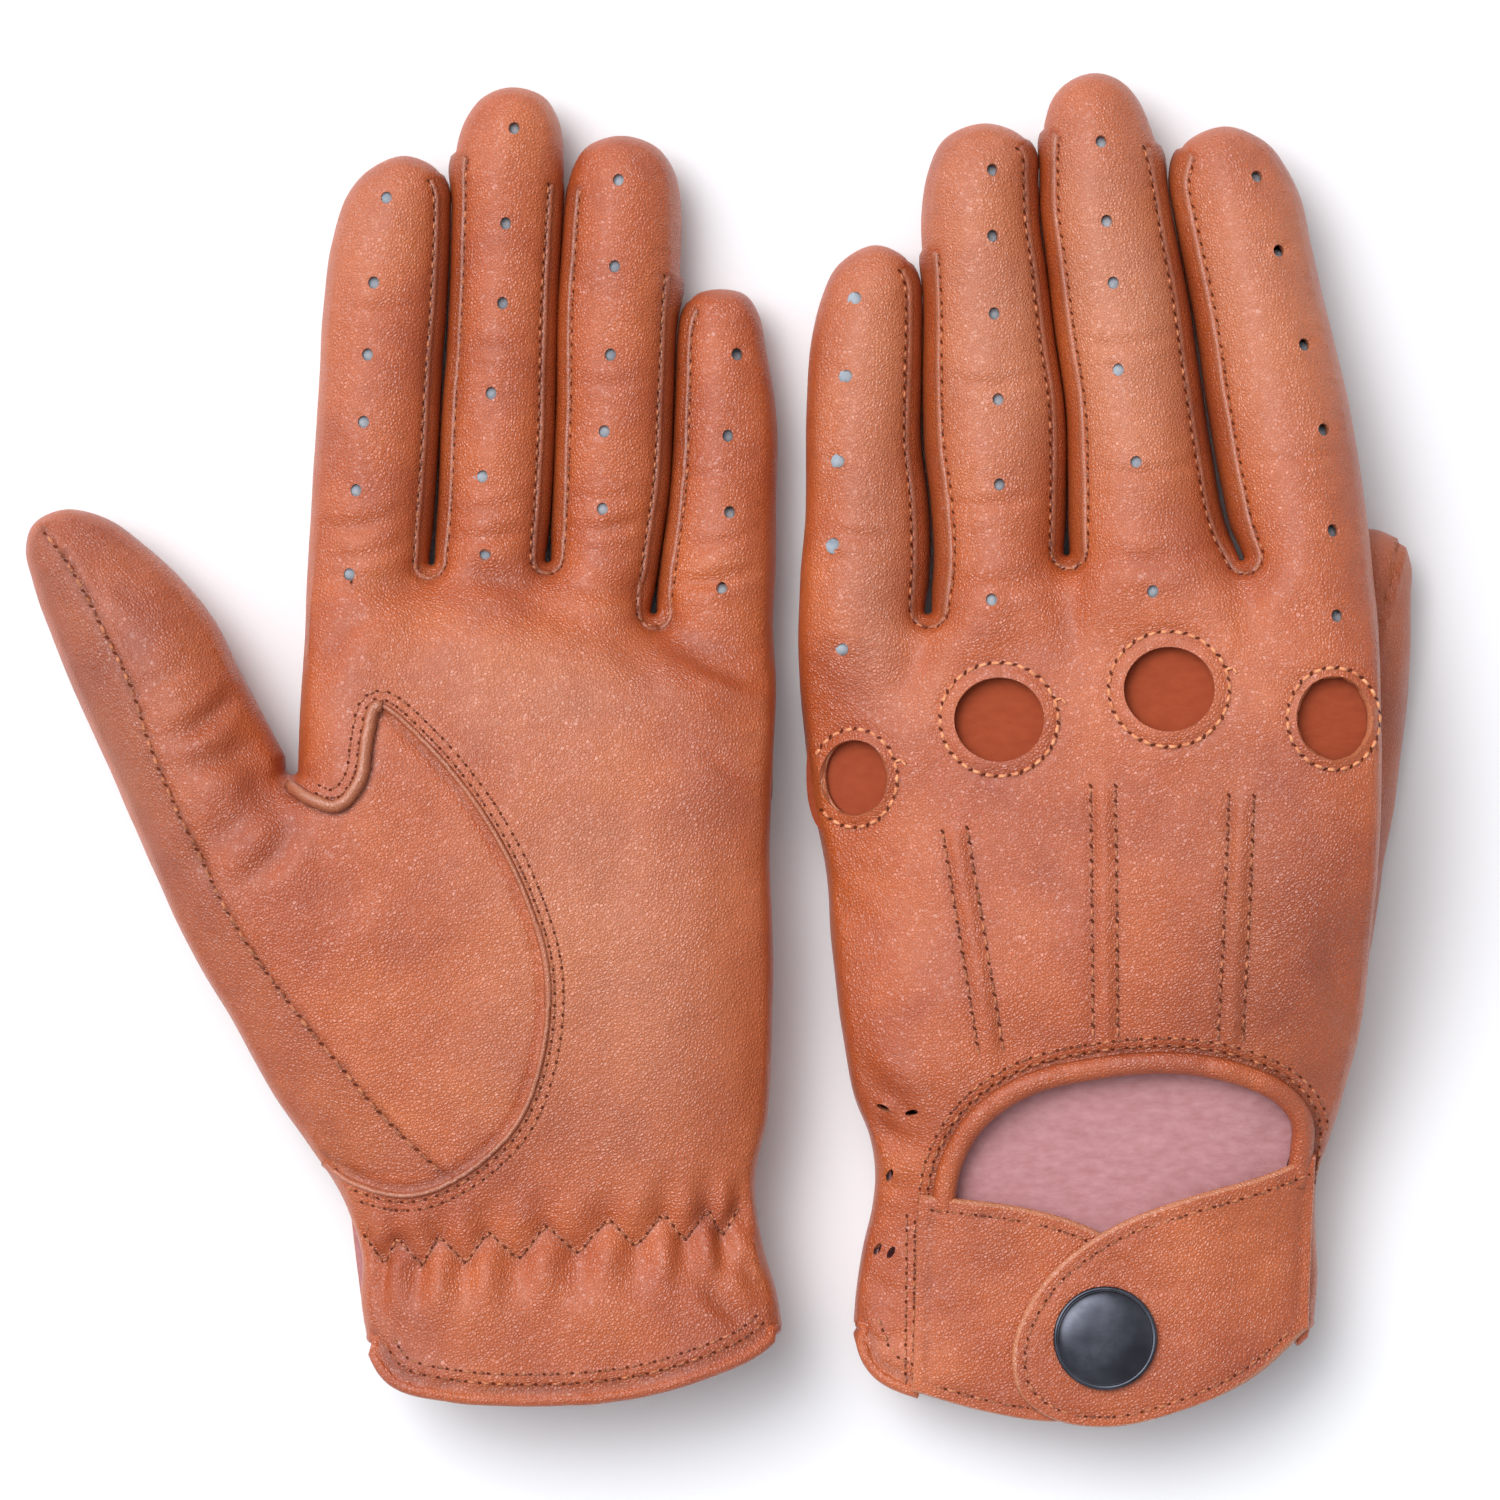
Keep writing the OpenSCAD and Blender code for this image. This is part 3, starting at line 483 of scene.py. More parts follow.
def bands(rows, count, closed=False, span=None):
    """Quads between rings of count points each, all the way round or over a span of them.

    When closed, the last ring is joined to the first one.
    """
    quads = []
    for r in range(rows if closed else rows - 1):
        a, b = r * count, (r + 1) % rows * count
        for s in span or range(count):
            e = (s + 1) % count
            quads.append([a + s, a + e, b + e, b + s])
    return quads


def facing(polys, forward):
    """The same faces, turned over unless they already look forward."""
    return [q if forward else q[::-1] for q in polys]


# ---------------------------------------------------------------- one glove's shape
class Glove:
    def __init__(self, number):
        self.number = number
        self.plan = PLANS[number]
        self.name = self.plan["name"]
        self.back_up = self.plan["back_up"]
        # where the back of the hand is, and with it the index finger: above and to the right, or below
        self.side = 1 if self.back_up else -1
        self.make_outline()

    def hand_span(self, y):
        """Middle and half width of the hand at each y."""
        return [np.interp(y, *np.array(t[self.number], float).T) for t in (HAND_MID, HAND_HALF)]

    def place(self, points):
        """[u, y] features as [x, y]."""
        u, y = np.array(points, float).reshape(-1, 2).T
        mid, half = self.hand_span(y)
        return np.stack([mid + self.side * half * u, y], axis=1)

    def make_outline(self):
        """The side line, clockwise from the hem's left end over the fingers to its right end."""
        plan = self.plan
        if plan["web"]:
            x, y, r = plan["web"]
            pieces, part = [curve(plan["cuff"]), oval((x, y), r, r, np.linspace(3.3, 5.9, 7))], plan["first"]
        else:
            pieces, part = [], plan["cuff"] + plan["first"]
        for tip, slit in zip(plan["tips"], plan["slits"]):
            pieces.append(curve(part + tip + [[x - h, y] for x, y, h in slit])[:-1])
            x, y, h = slit[-1]
            pieces.append(oval((x, y), h, h, np.linspace(math.pi, 2 * math.pi, 9)))
            part = [[x + h, y] for x, y, h in reversed(slit)]
        pieces.append(curve(part + plan["tips"][-1] + plan["last"])[1:])
        self.line = np.vstack(pieces)
        self.hem = curve(plan["hem"], 0.9)
        self.line[-1], self.line[0] = self.hem[0], self.hem[-1]
        n = normals_2d(self.line)
        n[1:-1] = (n[:-2] + 2 * n[1:-1] + n[2:]) / 4
        self.normal = n / np.linalg.norm(n, axis=1)[:, None]
        self.from_side = Near(evenly(self.line, 0.4))
        self.from_hand = Near(curve(plan["hand"], 0.8, closed=True))
        slits = [curve([[s[0][0], s[0][1] + 7]] + [[x, y] for x, y, _ in s], 0.6) for s in plan["slits"]]
        self.is_strip = np.min([Near(s)(self.line) for s in slits], axis=0) < STRIP_REACH

    def finger_of(self, p):
        """Index from the left of the finger that each point belongs to."""
        near = Near(self.line)
        near(p)
        which = np.zeros(len(p), int)
        for slit in self.plan["slits"]:
            s = np.array(slit)[::-1]
            crotch = int(np.argmin(np.linalg.norm(self.line - s[0, :2], axis=1)))
            beside = p[:, 0] > np.interp(p[:, 1], s[:, 1], s[:, 0])
            which += np.where(p[:, 1] > s[-1, 1] - 6, near.index > crotch, beside)
        return which

    def root_y(self, p):
        return np.interp(p[:, 0], *np.array(self.plan["roots"]).T)

    def thumb_axis(self):
        """The thumb's hinge in the plan, and the directions along the thumb and to its right."""
        hinge, tip = (np.array(p[:2]) for p in self.plan["thumb"][:2])
        along = unit(tip - hinge)
        return hinge, along, right_of(along)

    def thumb_along(self, p):
        """Distance along the thumb from its hinge, and to its right."""
        hinge, along, right = self.thumb_axis()
        return (p - hinge) @ along, (p - hinge) @ right

    def on_thumb(self, p, slack=0.0):
        """Which points are on the thumb; the glove with its back up has its thumb as a separate tube."""
        if self.back_up:
            return np.zeros(len(p), bool)
        along, across = self.thumb_along(p)
        return (along > -THUMB_ROOT) & (across < THUMB_SIDE + slack) & (p[:, 0] < THUMB_RIGHT)

    def on_fingers(self, p, thumb):
        """Which points are on a finger, given those on the thumb."""
        above = p[:, 1] > self.root_y(p)
        return above if self.back_up else above & ~thumb & (p[:, 0] > INDEX_LEFT)

    def part_of(self, xy):
        """The body that a plan point belongs to: a finger, the thumb or the hand."""
        p = np.asarray(xy, float).reshape(1, 2)
        if self.on_thumb(p)[0]:
            return "thumb"
        return finger_name(self.plan, int(self.finger_of(p)[0])) if p[0, 1] > self.root_y(p)[0] else "hand"

    def heights(self, p, d=None):
        """Middle height, and how far the upper and lower faces are from it, before any relief."""
        plan = self.plan
        d = self.from_side(p) if d is None else d
        d_hand = np.where(inside(p, self.from_hand.line), self.from_hand(p), 0.0) + 2.2
        ys, *columns = np.array(plan["levels"], float).T
        low, high, rise = (np.interp(p[:, 1], ys, column) for column in columns)
        mid, half = self.hand_span(p[:, 1])
        hand_mid = (low + high) / 2 + rise * np.clip((p[:, 0] - mid) / half, -1.1, 1.1)
        hand_thick = (high - low) / 2
        # fingers: the nearest ones share each point smoothly
        weight, middle, thick = [], [], []
        for hinge, tip, r0, r1 in plan["fingers"]:
            h, t = np.array(hinge), np.array(tip)
            length = np.linalg.norm((t - h)[:2])
            axis = (t - h)[:2] / length
            s = (p - h[:2]) @ axis / length
            weight.append(hump((p - h[:2]) @ right_of(axis), 5) + 1e-12)
            middle.append(h[2] + (t[2] - h[2]) * np.clip(s, -0.3, 1))
            thick.append(r0 + (r1 - r0) * np.clip(s, 0, 1))
        weight = np.array(weight) / np.sum(weight, axis=0)
        finger_mid, finger_thick = (np.sum(weight * np.array(x), axis=0) for x in (middle, thick))
        # edges are round: a finger over 97 % of its radius, the hand first tightly, then broadly
        in_hand = 1 - smooth(-17, 2.5, p[:, 1] - self.root_y(p))
        t_hand = ((d_hand / 24 + 1e-6) ** -3 + (d / 6 + 1e-6) ** -3) ** (-1 / 3)
        middle_z = finger_mid * (1 - in_hand) + hand_mid * in_hand
        over = finger_thick * bulge(d / (0.97 * finger_thick)) * (1 - in_hand)
        over += hand_thick * bulge(t_hand, 2.15) * in_hand
        if self.back_up:
            return middle_z, over
        along, across = self.thumb_along(p)
        hinge, tip, r0, r1 = plan["thumb"]
        s = np.clip(along / np.linalg.norm(np.array(tip[:2]) - np.array(hinge[:2])), 0, 1)
        is_thumb = smooth(-30, 0, along) * (1 - smooth(10, 24, across)) * (p[:, 1] <= 45)
        thumb_z = hinge[2] + (tip[2] - hinge[2]) * s
        thumb = (r0 + (r1 - r0) * s + 1.2 * (1 - s)) * bulge(d / (15.5 - 4.5 * s))
        return thumb_z * is_thumb + middle_z * (1 - is_thumb), thumb * is_thumb + over * (1 - is_thumb)

    def gap_fill(self):
        """How far each outline point between two fingers can swell towards the finger beside it."""
        along = np.r_[0, np.cumsum(np.linalg.norm(np.diff(self.line, axis=0), axis=1))]
        fill = np.zeros(len(self.line))
        for i in np.flatnonzero(self.is_strip):
            ahead = (self.line - self.line[i]) @ -self.normal[i]
            d = np.linalg.norm(self.line - self.line[i], axis=1)
            far = (np.abs(along - along[i]) > 7) & (ahead > 0.8 * d)
            if far.any():
                gap = d[far].min()
                fill[i] = 0.46 * gap * (1 - smooth(3.2, 6.5, gap))
        for _ in range(6):
            fill[1:-1] = (fill[:-2] + fill[1:-1] + fill[2:]) / 3
        return fill * self.is_strip

    # ------------------------------------------------------------ features drawn on the skin
    def is_back(self, face):
        return (face > 0) == self.back_up

    def hole_loops(self, face):
        """Closed lines of the openings in one face, with the kind of each."""
        loops = [("vent", oval(c, VENT_R, VENT_R * 1.12, turns(10, 0.3))) for c in VENTS[self.number]]
        if self.is_back(face):
            for u, y, rx, ry, _, _ in KNUCKLE_HOLES:
                loops.append(("knuckle", oval(self.place([u, y])[0], rx, ry, turns(46))))
            loops.append(("opening", np.vstack([curve(self.place(ARCH), 0.8), self.place(OPENING_SIDES)])))
            for u, y, degrees in WRIST_SLITS:
                t = math.radians(degrees) * self.side
                turned = np.array([[math.cos(t), math.sin(t)], [-math.sin(t), math.cos(t)]])
                slit = oval((0, 0), *WRIST_SLIT_SIZE, turns(10))
                loops.append(("slit", self.place([u, y]) + slit @ turned))
        return loops

    def seam_lines(self, face):
        """Seams that cross a face: name, line."""
        lines = {}
        if not self.is_back(face):
            lines["gusset"] = curve(self.place(GUSSET), 0.8)
        if not self.back_up and face > 0:
            lines["thumb"] = curve(THUMB_SEAM, 0.8)
        return lines

    def thumb_cut(self):
        """Line across the root of the thumb, where its pieces begin."""
        hinge, along, right = self.thumb_axis()
        foot = hinge - THUMB_ROOT * along
        return np.array([foot - 17 * right, foot + THUMB_SIDE * right])

    def relief(self, p, face, walls=False):
        """Height that the leather's own detail adds along its normal, and its shade: below 0 is darker, with
        painted shade in its furrows, seams and creases.
        """
        scale = 1.0 if face > 0 else 0.6
        broad = np.array([noise.noise((x * 0.055, y * 0.045, 3.1 * self.number)) for x, y in p])
        fine = np.array([noise.noise((x * 0.17, y * 0.11, 7.7 + self.number)) for x, y in p])
        # the shade follows the broad swelling: paler on its rises, darker in its hollows
        h, shade = scale * (0.55 * broad + 0.22 * fine), 0.10 * broad
        # the panel's edge sinks at the fingers' seams, with painted shade along it
        edge, strip = self.from_side(p) - SEAM_INSET, self.near_strip(p)
        h -= strip * 0.45 * hump(edge, 0.75)
        shade -= strip * 0.35 * hump(edge, 0.9)
        if not walls:
            self.seam_relief(p, face, h, shade)
            if self.is_back(face):
                self.back_relief(p, h, shade)
            else:
                self.gathers(p, h, shade)
            self.hem_relief(p, h, shade)
            if face > 0:
                self.folds(p, h, shade)
        return h, shade

    def seam_relief(self, p, face, h, shade):
        """Steps and furrows along the seams that cross a face, with painted shade in the furrows."""
        for name, line in self.seam_lines(face).items():
            if name == "gusset":
                hit, s = beside_line(p, line, 7)
                s *= -self.side
                h[hit] += 0.35 * smooth(-7, -1, s) * smooth(-0.9, -0.5, -s) - 0.5 * hump(s - 1.1, 0.6)
                h[hit] -= 0.22 * hump(s + 1.1, 0.5) + 0.22 * hump(s + 2.5, 0.5)
                shade[hit] -= 0.5 * hump(s - 1.2, 0.6)
            else:
                hit, s = beside_line(p, line, 6)
                h[hit] += 0.5 * hump(s + 0.75, 0.8) - 0.5 * hump(s - 0.35, 0.5)
                shade[hit] -= 0.3 * hump(s - 0.3, 0.6)

    def back_relief(self, p, h, shade):
        """The ridges, the rims of the knuckle holes and the furrow beside the wrist opening's binding, with
        painted shade in their furrows.
        """
        for u0, y0, u1, y1 in RIDGES:
            start, end = self.place([[u0, y0], [u1, y1]])
            d = unit(end - start)
            along, across = (p - start) @ d, np.abs((p - start) @ right_of(d))
            fade = smooth(-2, 3, along) * (1 - smooth(-3, 2, along - np.linalg.norm(end - start)))
            h += fade * (0.45 * hump(across, 1.15, 4) - 0.45 * hump(across - 2, 0.5))
            shade -= fade * 0.25 * hump(across - 2, 0.6)
        for u, y, _, _, rx, ry in KNUCKLE_HOLES:
            v = p - self.place([u, y])
            beyond = (np.hypot(v[:, 0] / rx, v[:, 1] / ry) - 1) * (rx + ry) / 2
            h += 0.25 * (1 - smooth(-0.8, 0.4, beyond)) - 0.4 * hump(beyond, 0.6)
            shade -= 0.2 * hump(beyond, 0.6)
        hit, s = beside_line(p, curve(self.place(ARCH), 0.8), 8)
        h[hit] -= 0.7 * hump(np.abs(s) - 3.5, 0.6)
        shade[hit] -= 0.4 * hump(np.abs(s) - 3.5, 0.7)

    def gathers(self, p, h, shade):
        """Puckers where the elastic draws the wrist in, with painted shade along its stitched furrow."""
        zig = self.zigzag()
        peaks = zig[::2]
        peaks = peaks[np.argsort(peaks[:, 0])]
        wave = np.cos(2 * math.pi * np.interp(p[:, 0], peaks[:, 0], np.arange(len(peaks))))
        below = np.interp(p[:, 0], peaks[:, 0], peaks[:, 1]) - 2.5 - p[:, 1]
        h += 1.0 * wave * smooth(-0.5, 2.8, below) * (1 - smooth(3, 13, below))
        h -= 0.6 * wave * smooth(-0.5, 2.8, -below) * (1 - smooth(3, 10, -below))
        h -= 0.8 * hump(below, 3.6)
        d = Near(evenly(zig, 0.5))(p)
        h -= 0.5 * hump(d, 0.7)
        shade -= 0.3 * hump(d, 0.8)

    def hem_relief(self, p, h, shade):
        """The turned hem is thicker, with its two rows of stitches and a furrow beside its roll, and painted
        shade in the rows and the furrow.
        """
        hem = Near(self.hem)(p)
        rows = hump(hem - HEM_ROWS[0], 0.45) + 0.8 * hump(hem - HEM_ROWS[1], 0.45)
        h += 0.45 * (1 - smooth(4.2, 5.4, hem)) - 0.4 * rows - 0.7 * hump(hem - 1.7, 0.4)
        shade -= 0.2 * rows + 0.45 * hump(hem - 1.7, 0.45)

    def folds(self, p, h, shade):
        """Soft swellings, painted light and shade, and creases with painted shade in them, of the upper face.
        """
        for table, values in ((PADS, h), (PAINTED_LIGHT_AND_SHADE, shade)):
            for x, y, rx, ry, amount in table[self.number]:
                values += amount * hump(p[:, 0] - x, rx) * hump(p[:, 1] - y, ry)
        # painted shade over the outer side of glove a's thumb seam, which slopes away from the light
        if not self.back_up:
            shade -= 0.22 * inside(p, self.thumb_seam_side())
        for x0, y0, x1, y1, width, depth in CREASES[self.number]:
            start, v = np.array([x0, y0]), np.array([x1 - x0, y1 - y0])
            t = np.clip((p - start) @ v / (v @ v), 0, 1)
            bow = 0.08 * np.sin(math.pi * t)
            d = np.linalg.norm(p - start - t[:, None] * v - bow[:, None] * right_of(v), axis=1)
            deep = depth * np.sin(math.pi * np.clip(t, 0.02, 0.98)) ** 0.7
            h -= deep * (hump(d, width) - 0.45 * hump(d - 1.9 * width, width))
            # painted shade along each crease
            shade -= 0.25 * deep * hump(d, 0.7 * width)

    def near_strip(self, p):
        """1 beside the fingers' side strips, and 0 elsewhere."""
        near = Near(self.line)
        near(p)
        return self.is_strip[near.index].astype(float)

    def zigzag(self):
        """Turning points of the elastic's stitching."""
        tops = [[u, -80.2 + 4.9 * smooth(0.9, -1.0, u)] for u in ZIGZAG_U]
        points = tops[:1]
        for (u0, y0), (u1, y1) in zip(tops, tops[1:]):
            points += [[(u0 + u1) / 2, y0 - 4.8], [u1, y1]]
        return self.place(points)

    # ------------------------------------------------------------ the skin as one mesh
    def build(self):
        """Two panels, joined by walls from their edges down to the outline."""
        count, total = len(self.line), 0
        plane, heights, rows = [], [], {}
        self.faces, self.labels, self.edge_loops, self.mouth = [], [], [], {}
        for face, spacing in ((1, FINE), (-1, COARSE)):
            points, tris, ring, loops = self.panel(face, spacing)
            mid, over = self.heights(points)
            ease = smooth(1.8, 5, self.from_side(points)) * 0.7
            plane.append(points)
            heights.append(relaxed(mid + face * over, np.array(tris), ease, 14))
            self.faces += facing([[i + total for i in tri] for tri in tris], face > 0)
            self.labels += self.label(points, tris, face)
            self.edge_loops += [(kind, face, [(i + total, j + total) for i, j in ids]) for kind, ids in loops]
            rows[face, 0] = [i + total for i in ring]
            total += len(points)
        self.ring_ids = {face: rows[face, 0] for face in (1, -1)}
        # between fingers the walls swell towards each other and nearly close the gap
        swell = self.gap_fill()
        out = -self.normal * swell[:, None]
        for face in (1, -1):
            for k in range(1, WALL_ROWS):
                d = SEAM_INSET * (1 - k / WALL_ROWS) ** 2
                q = self.line + self.normal * d
                mid, over = self.heights(q, np.full(count, d))
                plane.append(q + out * (k / WALL_ROWS) ** 1.3)
                heights.append(mid + face * over)
                rows[face, k] = list(range(total, total + count))
                total += count
        plane.append(self.line + out)
        heights.append(self.heights(self.line, np.zeros(count))[0])
        wall_labels = self.wall_label()
        for face in (1, -1):
            chain = [rows[face, k] for k in range(WALL_ROWS)] + [list(range(total, total + count))]
            self.mouth[face] = [row[0] for row in chain[::-1]], [row[-1] for row in chain]
            for outer, inner in zip(chain, chain[1:]):
                quads = [[outer[i], outer[i + 1], inner[i + 1], inner[i]] for i in range(count - 1)]
                self.faces += facing(quads, face > 0)
                self.labels += wall_labels[face]
        self.xy = np.vstack(plane)
        self.verts = np.column_stack([self.xy, np.concatenate(heights)])
        lift, self.shade = np.zeros(len(self.xy)), np.zeros(len(self.xy))
        upper = len(plane[0])
        walls = upper + len(plane[1])
        for part, face in ((slice(0, upper), 1), (slice(upper, walls), -1)):
            lift[part], self.shade[part] = self.relief(self.xy[part], face)
        wall_lift, self.shade[walls:] = self.relief(self.xy[walls:], 1, walls=True)
        lift[walls:] = wall_lift * 0.6
        # painted shade: the walls darken deeper into the gap between two fingers
        depth = np.repeat([k / WALL_ROWS for k in range(1, WALL_ROWS)] * 2 + [1.0], count)
        self.shade[walls:] -= 0.55 * depth * np.tile(np.clip(swell / 0.5, 0, 1), 2 * WALL_ROWS - 1)
        self.verts = self.verts + self.vertex_normals() * lift[:, None]
        self.normals = self.vertex_normals()
        self.tree = BVHTree.FromPolygons([Vector(v) for v in self.verts], self.faces)

    def panel(self, face, spacing):
        """Triangles over the plan inside the seam line: points, faces, the ring's ids and the rims."""
        ring, hem = self.line + self.normal * SEAM_INSET, self.hem
        clear = [np.linalg.norm(hem - end, axis=1) > gap
                 for end, gap in ((ring[0], 1.1), (ring[-1], 1.1), (hem[0], 2.2), (hem[-1], 2.2))]
        boundary = np.vstack([ring, hem[np.all(clear, axis=0)]])
        holes = self.hole_loops(face)
        lines = list(self.seam_lines(face).values())
        roots = np.array(self.plan["roots"], float)
        lines += [evenly(np.array([a, b]), 1.0) for a, b in zip(roots, roots[1:])]
        if not self.back_up:
            lines.append(evenly(self.thumb_cut(), 1.0))
        points, tris, where = triangulate([boundary] + [loop for _, loop in holes], lines, spacing)
        return points, tris.tolist(), where[:len(ring)], self.rim_loops(tris, points, holes)

    def rim_loops(self, tris, points, holes):
        """Edges of the panel along its holes and its hem, as pairs of point ids, by kind."""
        directed = {tuple(sorted(pair)): pair
                    for a, b, c in tris.tolist() for pair in ((a, b), (b, c), (c, a))}
        sides = np.sort(np.vstack([tris[:, [0, 1]], tris[:, [1, 2]], tris[:, [2, 0]]]), axis=1)
        unique, counts = np.unique(sides, axis=0, return_counts=True)
        rim = unique[counts == 1]
        mids = points[rim].mean(axis=1)
        loops = []
        for kind, line in [(kind, np.vstack([loop, loop[:1]])) for kind, loop in holes] + [("hem", self.hem)]:
            picked = rim[Near(evenly(line, 0.25))(mids) < 0.3]
            loops.append((kind, [directed[tuple(e)] for e in picked.tolist()]))
        return loops

    def label(self, points, polys, face):
        """The sewn piece that each face of a panel belongs to."""
        centre = points[np.array(polys)].mean(axis=1)
        back = self.is_back(face)
        names = np.full(len(centre), "hand_back" if back else "hand_palm", dtype=object)
        if not back:
            names[inside(centre, self.gusset_outline())] = "thumb_gusset"
        thumb = self.on_thumb(centre)
        names[thumb] = "thumb_back"
        if not self.back_up and face > 0:
            outer = inside(centre, self.thumb_seam_side())
            names[outer & ~thumb] = "hand_back"
            names[thumb & ~outer] = "thumb_front"
        on_finger, which = self.on_fingers(centre, thumb), self.finger_of(centre)
        for i in range(4):
            names[on_finger & (which == i)] = finger_name(self.plan, i) + ("_back" if back else "_front")
        return list(names)

    def gusset_outline(self):
        """The gusset's seam, closed round the palm's edge."""
        return np.vstack([curve(self.place(GUSSET), 0.8), self.place([[1.6, -75], [1.95, -40], [1.6, -12]])])

    def thumb_seam_side(self):
        """Everything on the outer side of the thumb's seam."""
        return np.vstack([curve(THUMB_SEAM, 0.8), [[-44, -69.5], [-60, -69.5], [-125, -40], [-125, 45]]])

    def wall_label(self):
        """Pieces of the walls, upper and lower, for each step along the outline."""
        mid = (self.line[1:] + self.line[:-1]) / 2
        strip = self.is_strip[1:] & self.is_strip[:-1]
        thumb = self.on_thumb(mid, 0.1)
        on_finger, which = self.on_fingers(mid, thumb), self.finger_of(mid)
        result = {}
        for face in (1, -1):
            back = self.is_back(face)
            names = np.full(len(mid), "hand_back" if back else "hand_palm", dtype=object)
            if not self.back_up:
                names[(mid[:, 0] < -60) & (mid[:, 1] < 0)] = "hand_back"
                names[thumb] = "thumb_back"
                if face > 0:
                    names[thumb & (self.thumb_along(mid)[1] > 0)] = "thumb_front"
            for i in range(4):
                finger = finger_name(self.plan, i)
                here = on_finger & (which == i)
                names[here] = finger + ("_back" if back else "_front")
                one_sided = finger in ("index", "little")
                names[here & strip] = finger + ("_fourchette" if one_sided else "_fourchettes")
            result[face] = list(names)
        return result

    def vertex_normals(self):
        v = self.verts
        n = np.zeros_like(v)
        for size in (3, 4):
            f = np.array([f for f in self.faces if len(f) == size])
            cross = np.cross(v[f[:, 1]] - v[f[:, 0]], v[f[:, 2]] - v[f[:, 0]])
            if size == 4:
                cross = cross + np.cross(v[f[:, 2]] - v[f[:, 0]], v[f[:, 3]] - v[f[:, 0]])
            for k in range(size):
                np.add.at(n, f[:, k], cross)
        return n / (np.linalg.norm(n, axis=1)[:, None] + 1e-12)

    def hit(self, x, y, face):
        """Where a line straight through the plan meets the skin's upper or lower face."""
        return self.tree.ray_cast(Vector((x, y, 80 * face)), Vector((0, 0, -face)))

    def over_hand(self, xy, face):
        """Points over the outside of the hand, across its openings too, and normals there."""
        xy = np.asarray(xy, float)
        mid, over = self.heights(xy)
        z = mid + face * over
        for i, (x, y) in enumerate(xy):
            place = self.hit(x, y, face)[0]
            if place is not None and 0 < (place.z - z[i]) * face < 2.5:
                z[i] = place.z
        slope = []
        for step in np.array([[0.5, 0], [0, 0.5]]):
            (mid0, over0), (mid1, over1) = self.heights(xy - step), self.heights(xy + step)
            slope.append(mid1 + face * over1 - (mid0 + face * over0))
        n = np.stack([-slope[0], -slope[1], np.ones(len(xy))], axis=1) * face
        return np.column_stack([xy, z]), n / np.linalg.norm(n, axis=1)[:, None]

    def on_skin(self, xy, face, lift=0.0):
        """Points on the finished skin over a plan line, and its normals there."""
        points, normals = [], []
        for x, y in xy:
            hit = self.hit(x, y, face)
            if hit[0] is None:
                hit = self.tree.find_nearest(Vector((x, y, 10 + 10 * face)))
            n = np.array(hit[1])
            if n[2] * face < 0:
                n = -n
            points.append(np.array(hit[0]) + n * lift)
            normals.append(n)
        return np.array(points), np.array(normals)


# ---------------------------------------------------------------- materials
def rgb(r, g, b):
    """An sRGB colour, 0 to 255, as linear values."""
    parts = [c / 255 for c in (r, g, b)]
    return tuple(c / 12.92 if c <= 0.04 else ((c + 0.055) / 1.055) ** 2.4 for c in parts) + (1.0,)


class Shader:
    """A node material with a few helpers."""

    def __init__(self, name, roughness, metallic=0.0, specular=0.5, coat=0.0, coat_roughness=0.3, sheen=0.0):
        self.material = bpy.data.materials.new(name)
        self.material.use_nodes = True
        self.nodes = self.material.node_tree.nodes
        self.links = self.material.node_tree.links
        self.bsdf = self.nodes["Principled BSDF"]
        self.put(self.bsdf, **{"Roughness": roughness, "Metallic": metallic, "Specular IOR Level": specular,
                               "Coat Weight": coat, "Coat Roughness": coat_roughness, "Sheen Weight": sheen})
        self.place = self.node("ShaderNodeTexCoord").outputs["Object"]

    def node(self, kind, **settings):
        n = self.nodes.new(kind)
        for key, value in settings.items():
            setattr(n, key, value)
        return n

    def put(self, n, **values):
        for key, value in values.items():
            n.inputs[key.replace("_", " ")].default_value = value

    def join(self, a, b):
        self.links.new(a, b)

    def noise(self, scale, detail=3.0, stretch=None, rough=0.55):
        n = self.node("ShaderNodeTexNoise")
        self.put(n, Scale=scale, Detail=detail, Roughness=rough)
        place = self.place
        if stretch:
            m = self.node("ShaderNodeMapping")
            m.inputs["Scale"].default_value = stretch
            self.join(place, m.inputs["Vector"])
            place = m.outputs["Vector"]
        self.join(place, n.inputs["Vector"])
        return n.outputs["Fac"]

    def cells(self, scale):
        n = self.node("ShaderNodeTexVoronoi", feature="DISTANCE_TO_EDGE")
        self.put(n, Scale=scale)
        self.join(self.place, n.inputs["Vector"])
        return n.outputs["Distance"]

    def ramp(self, fac, stops):
        n = self.node("ShaderNodeValToRGB")
        while len(n.color_ramp.elements) < len(stops):
            n.color_ramp.elements.new(0.5)
        for e, (at, colour) in zip(n.color_ramp.elements, stops):
            e.position, e.color = at, colour
        self.join(fac, n.inputs["Fac"])
        return n.outputs["Color"]

    def mix(self, fac, a, b, blend="MIX"):
        n = self.node("ShaderNodeMix", data_type="RGBA", blend_type=blend)
        for value, socket in ((fac, n.inputs["Factor"]), (a, n.inputs[6]), (b, n.inputs[7])):
            if hasattr(value, "links"):
                self.join(value, socket)
            else:
                socket.default_value = value
        return n.outputs[2]

    def scaled(self, value, low, high, to_low=0.0, to_high=1.0):
        n = self.node("ShaderNodeMapRange")
        n.inputs["From Min"].default_value, n.inputs["From Max"].default_value = low, high
        n.inputs["To Min"].default_value, n.inputs["To Max"].default_value = to_low, to_high
        self.join(value, n.inputs["Value"])
        return n.outputs["Result"]

    def shade(self):
        n = self.node("ShaderNodeAttribute", attribute_name="shade")
        return n.outputs["Fac"]

    def bumps(self, *layers):
        """Layers of (height, strength, distance in metres), the first one at the bottom."""
        last = None
        for height, strength, distance in layers:
            n = self.node("ShaderNodeBump")
            self.put(n, Strength=strength, Distance=distance)
            self.join(height, n.inputs["Height"])
            if last is not None:
                self.join(last, n.inputs["Normal"])
            last = n.outputs["Normal"]
        self.join(last, self.bsdf.inputs["Normal"])


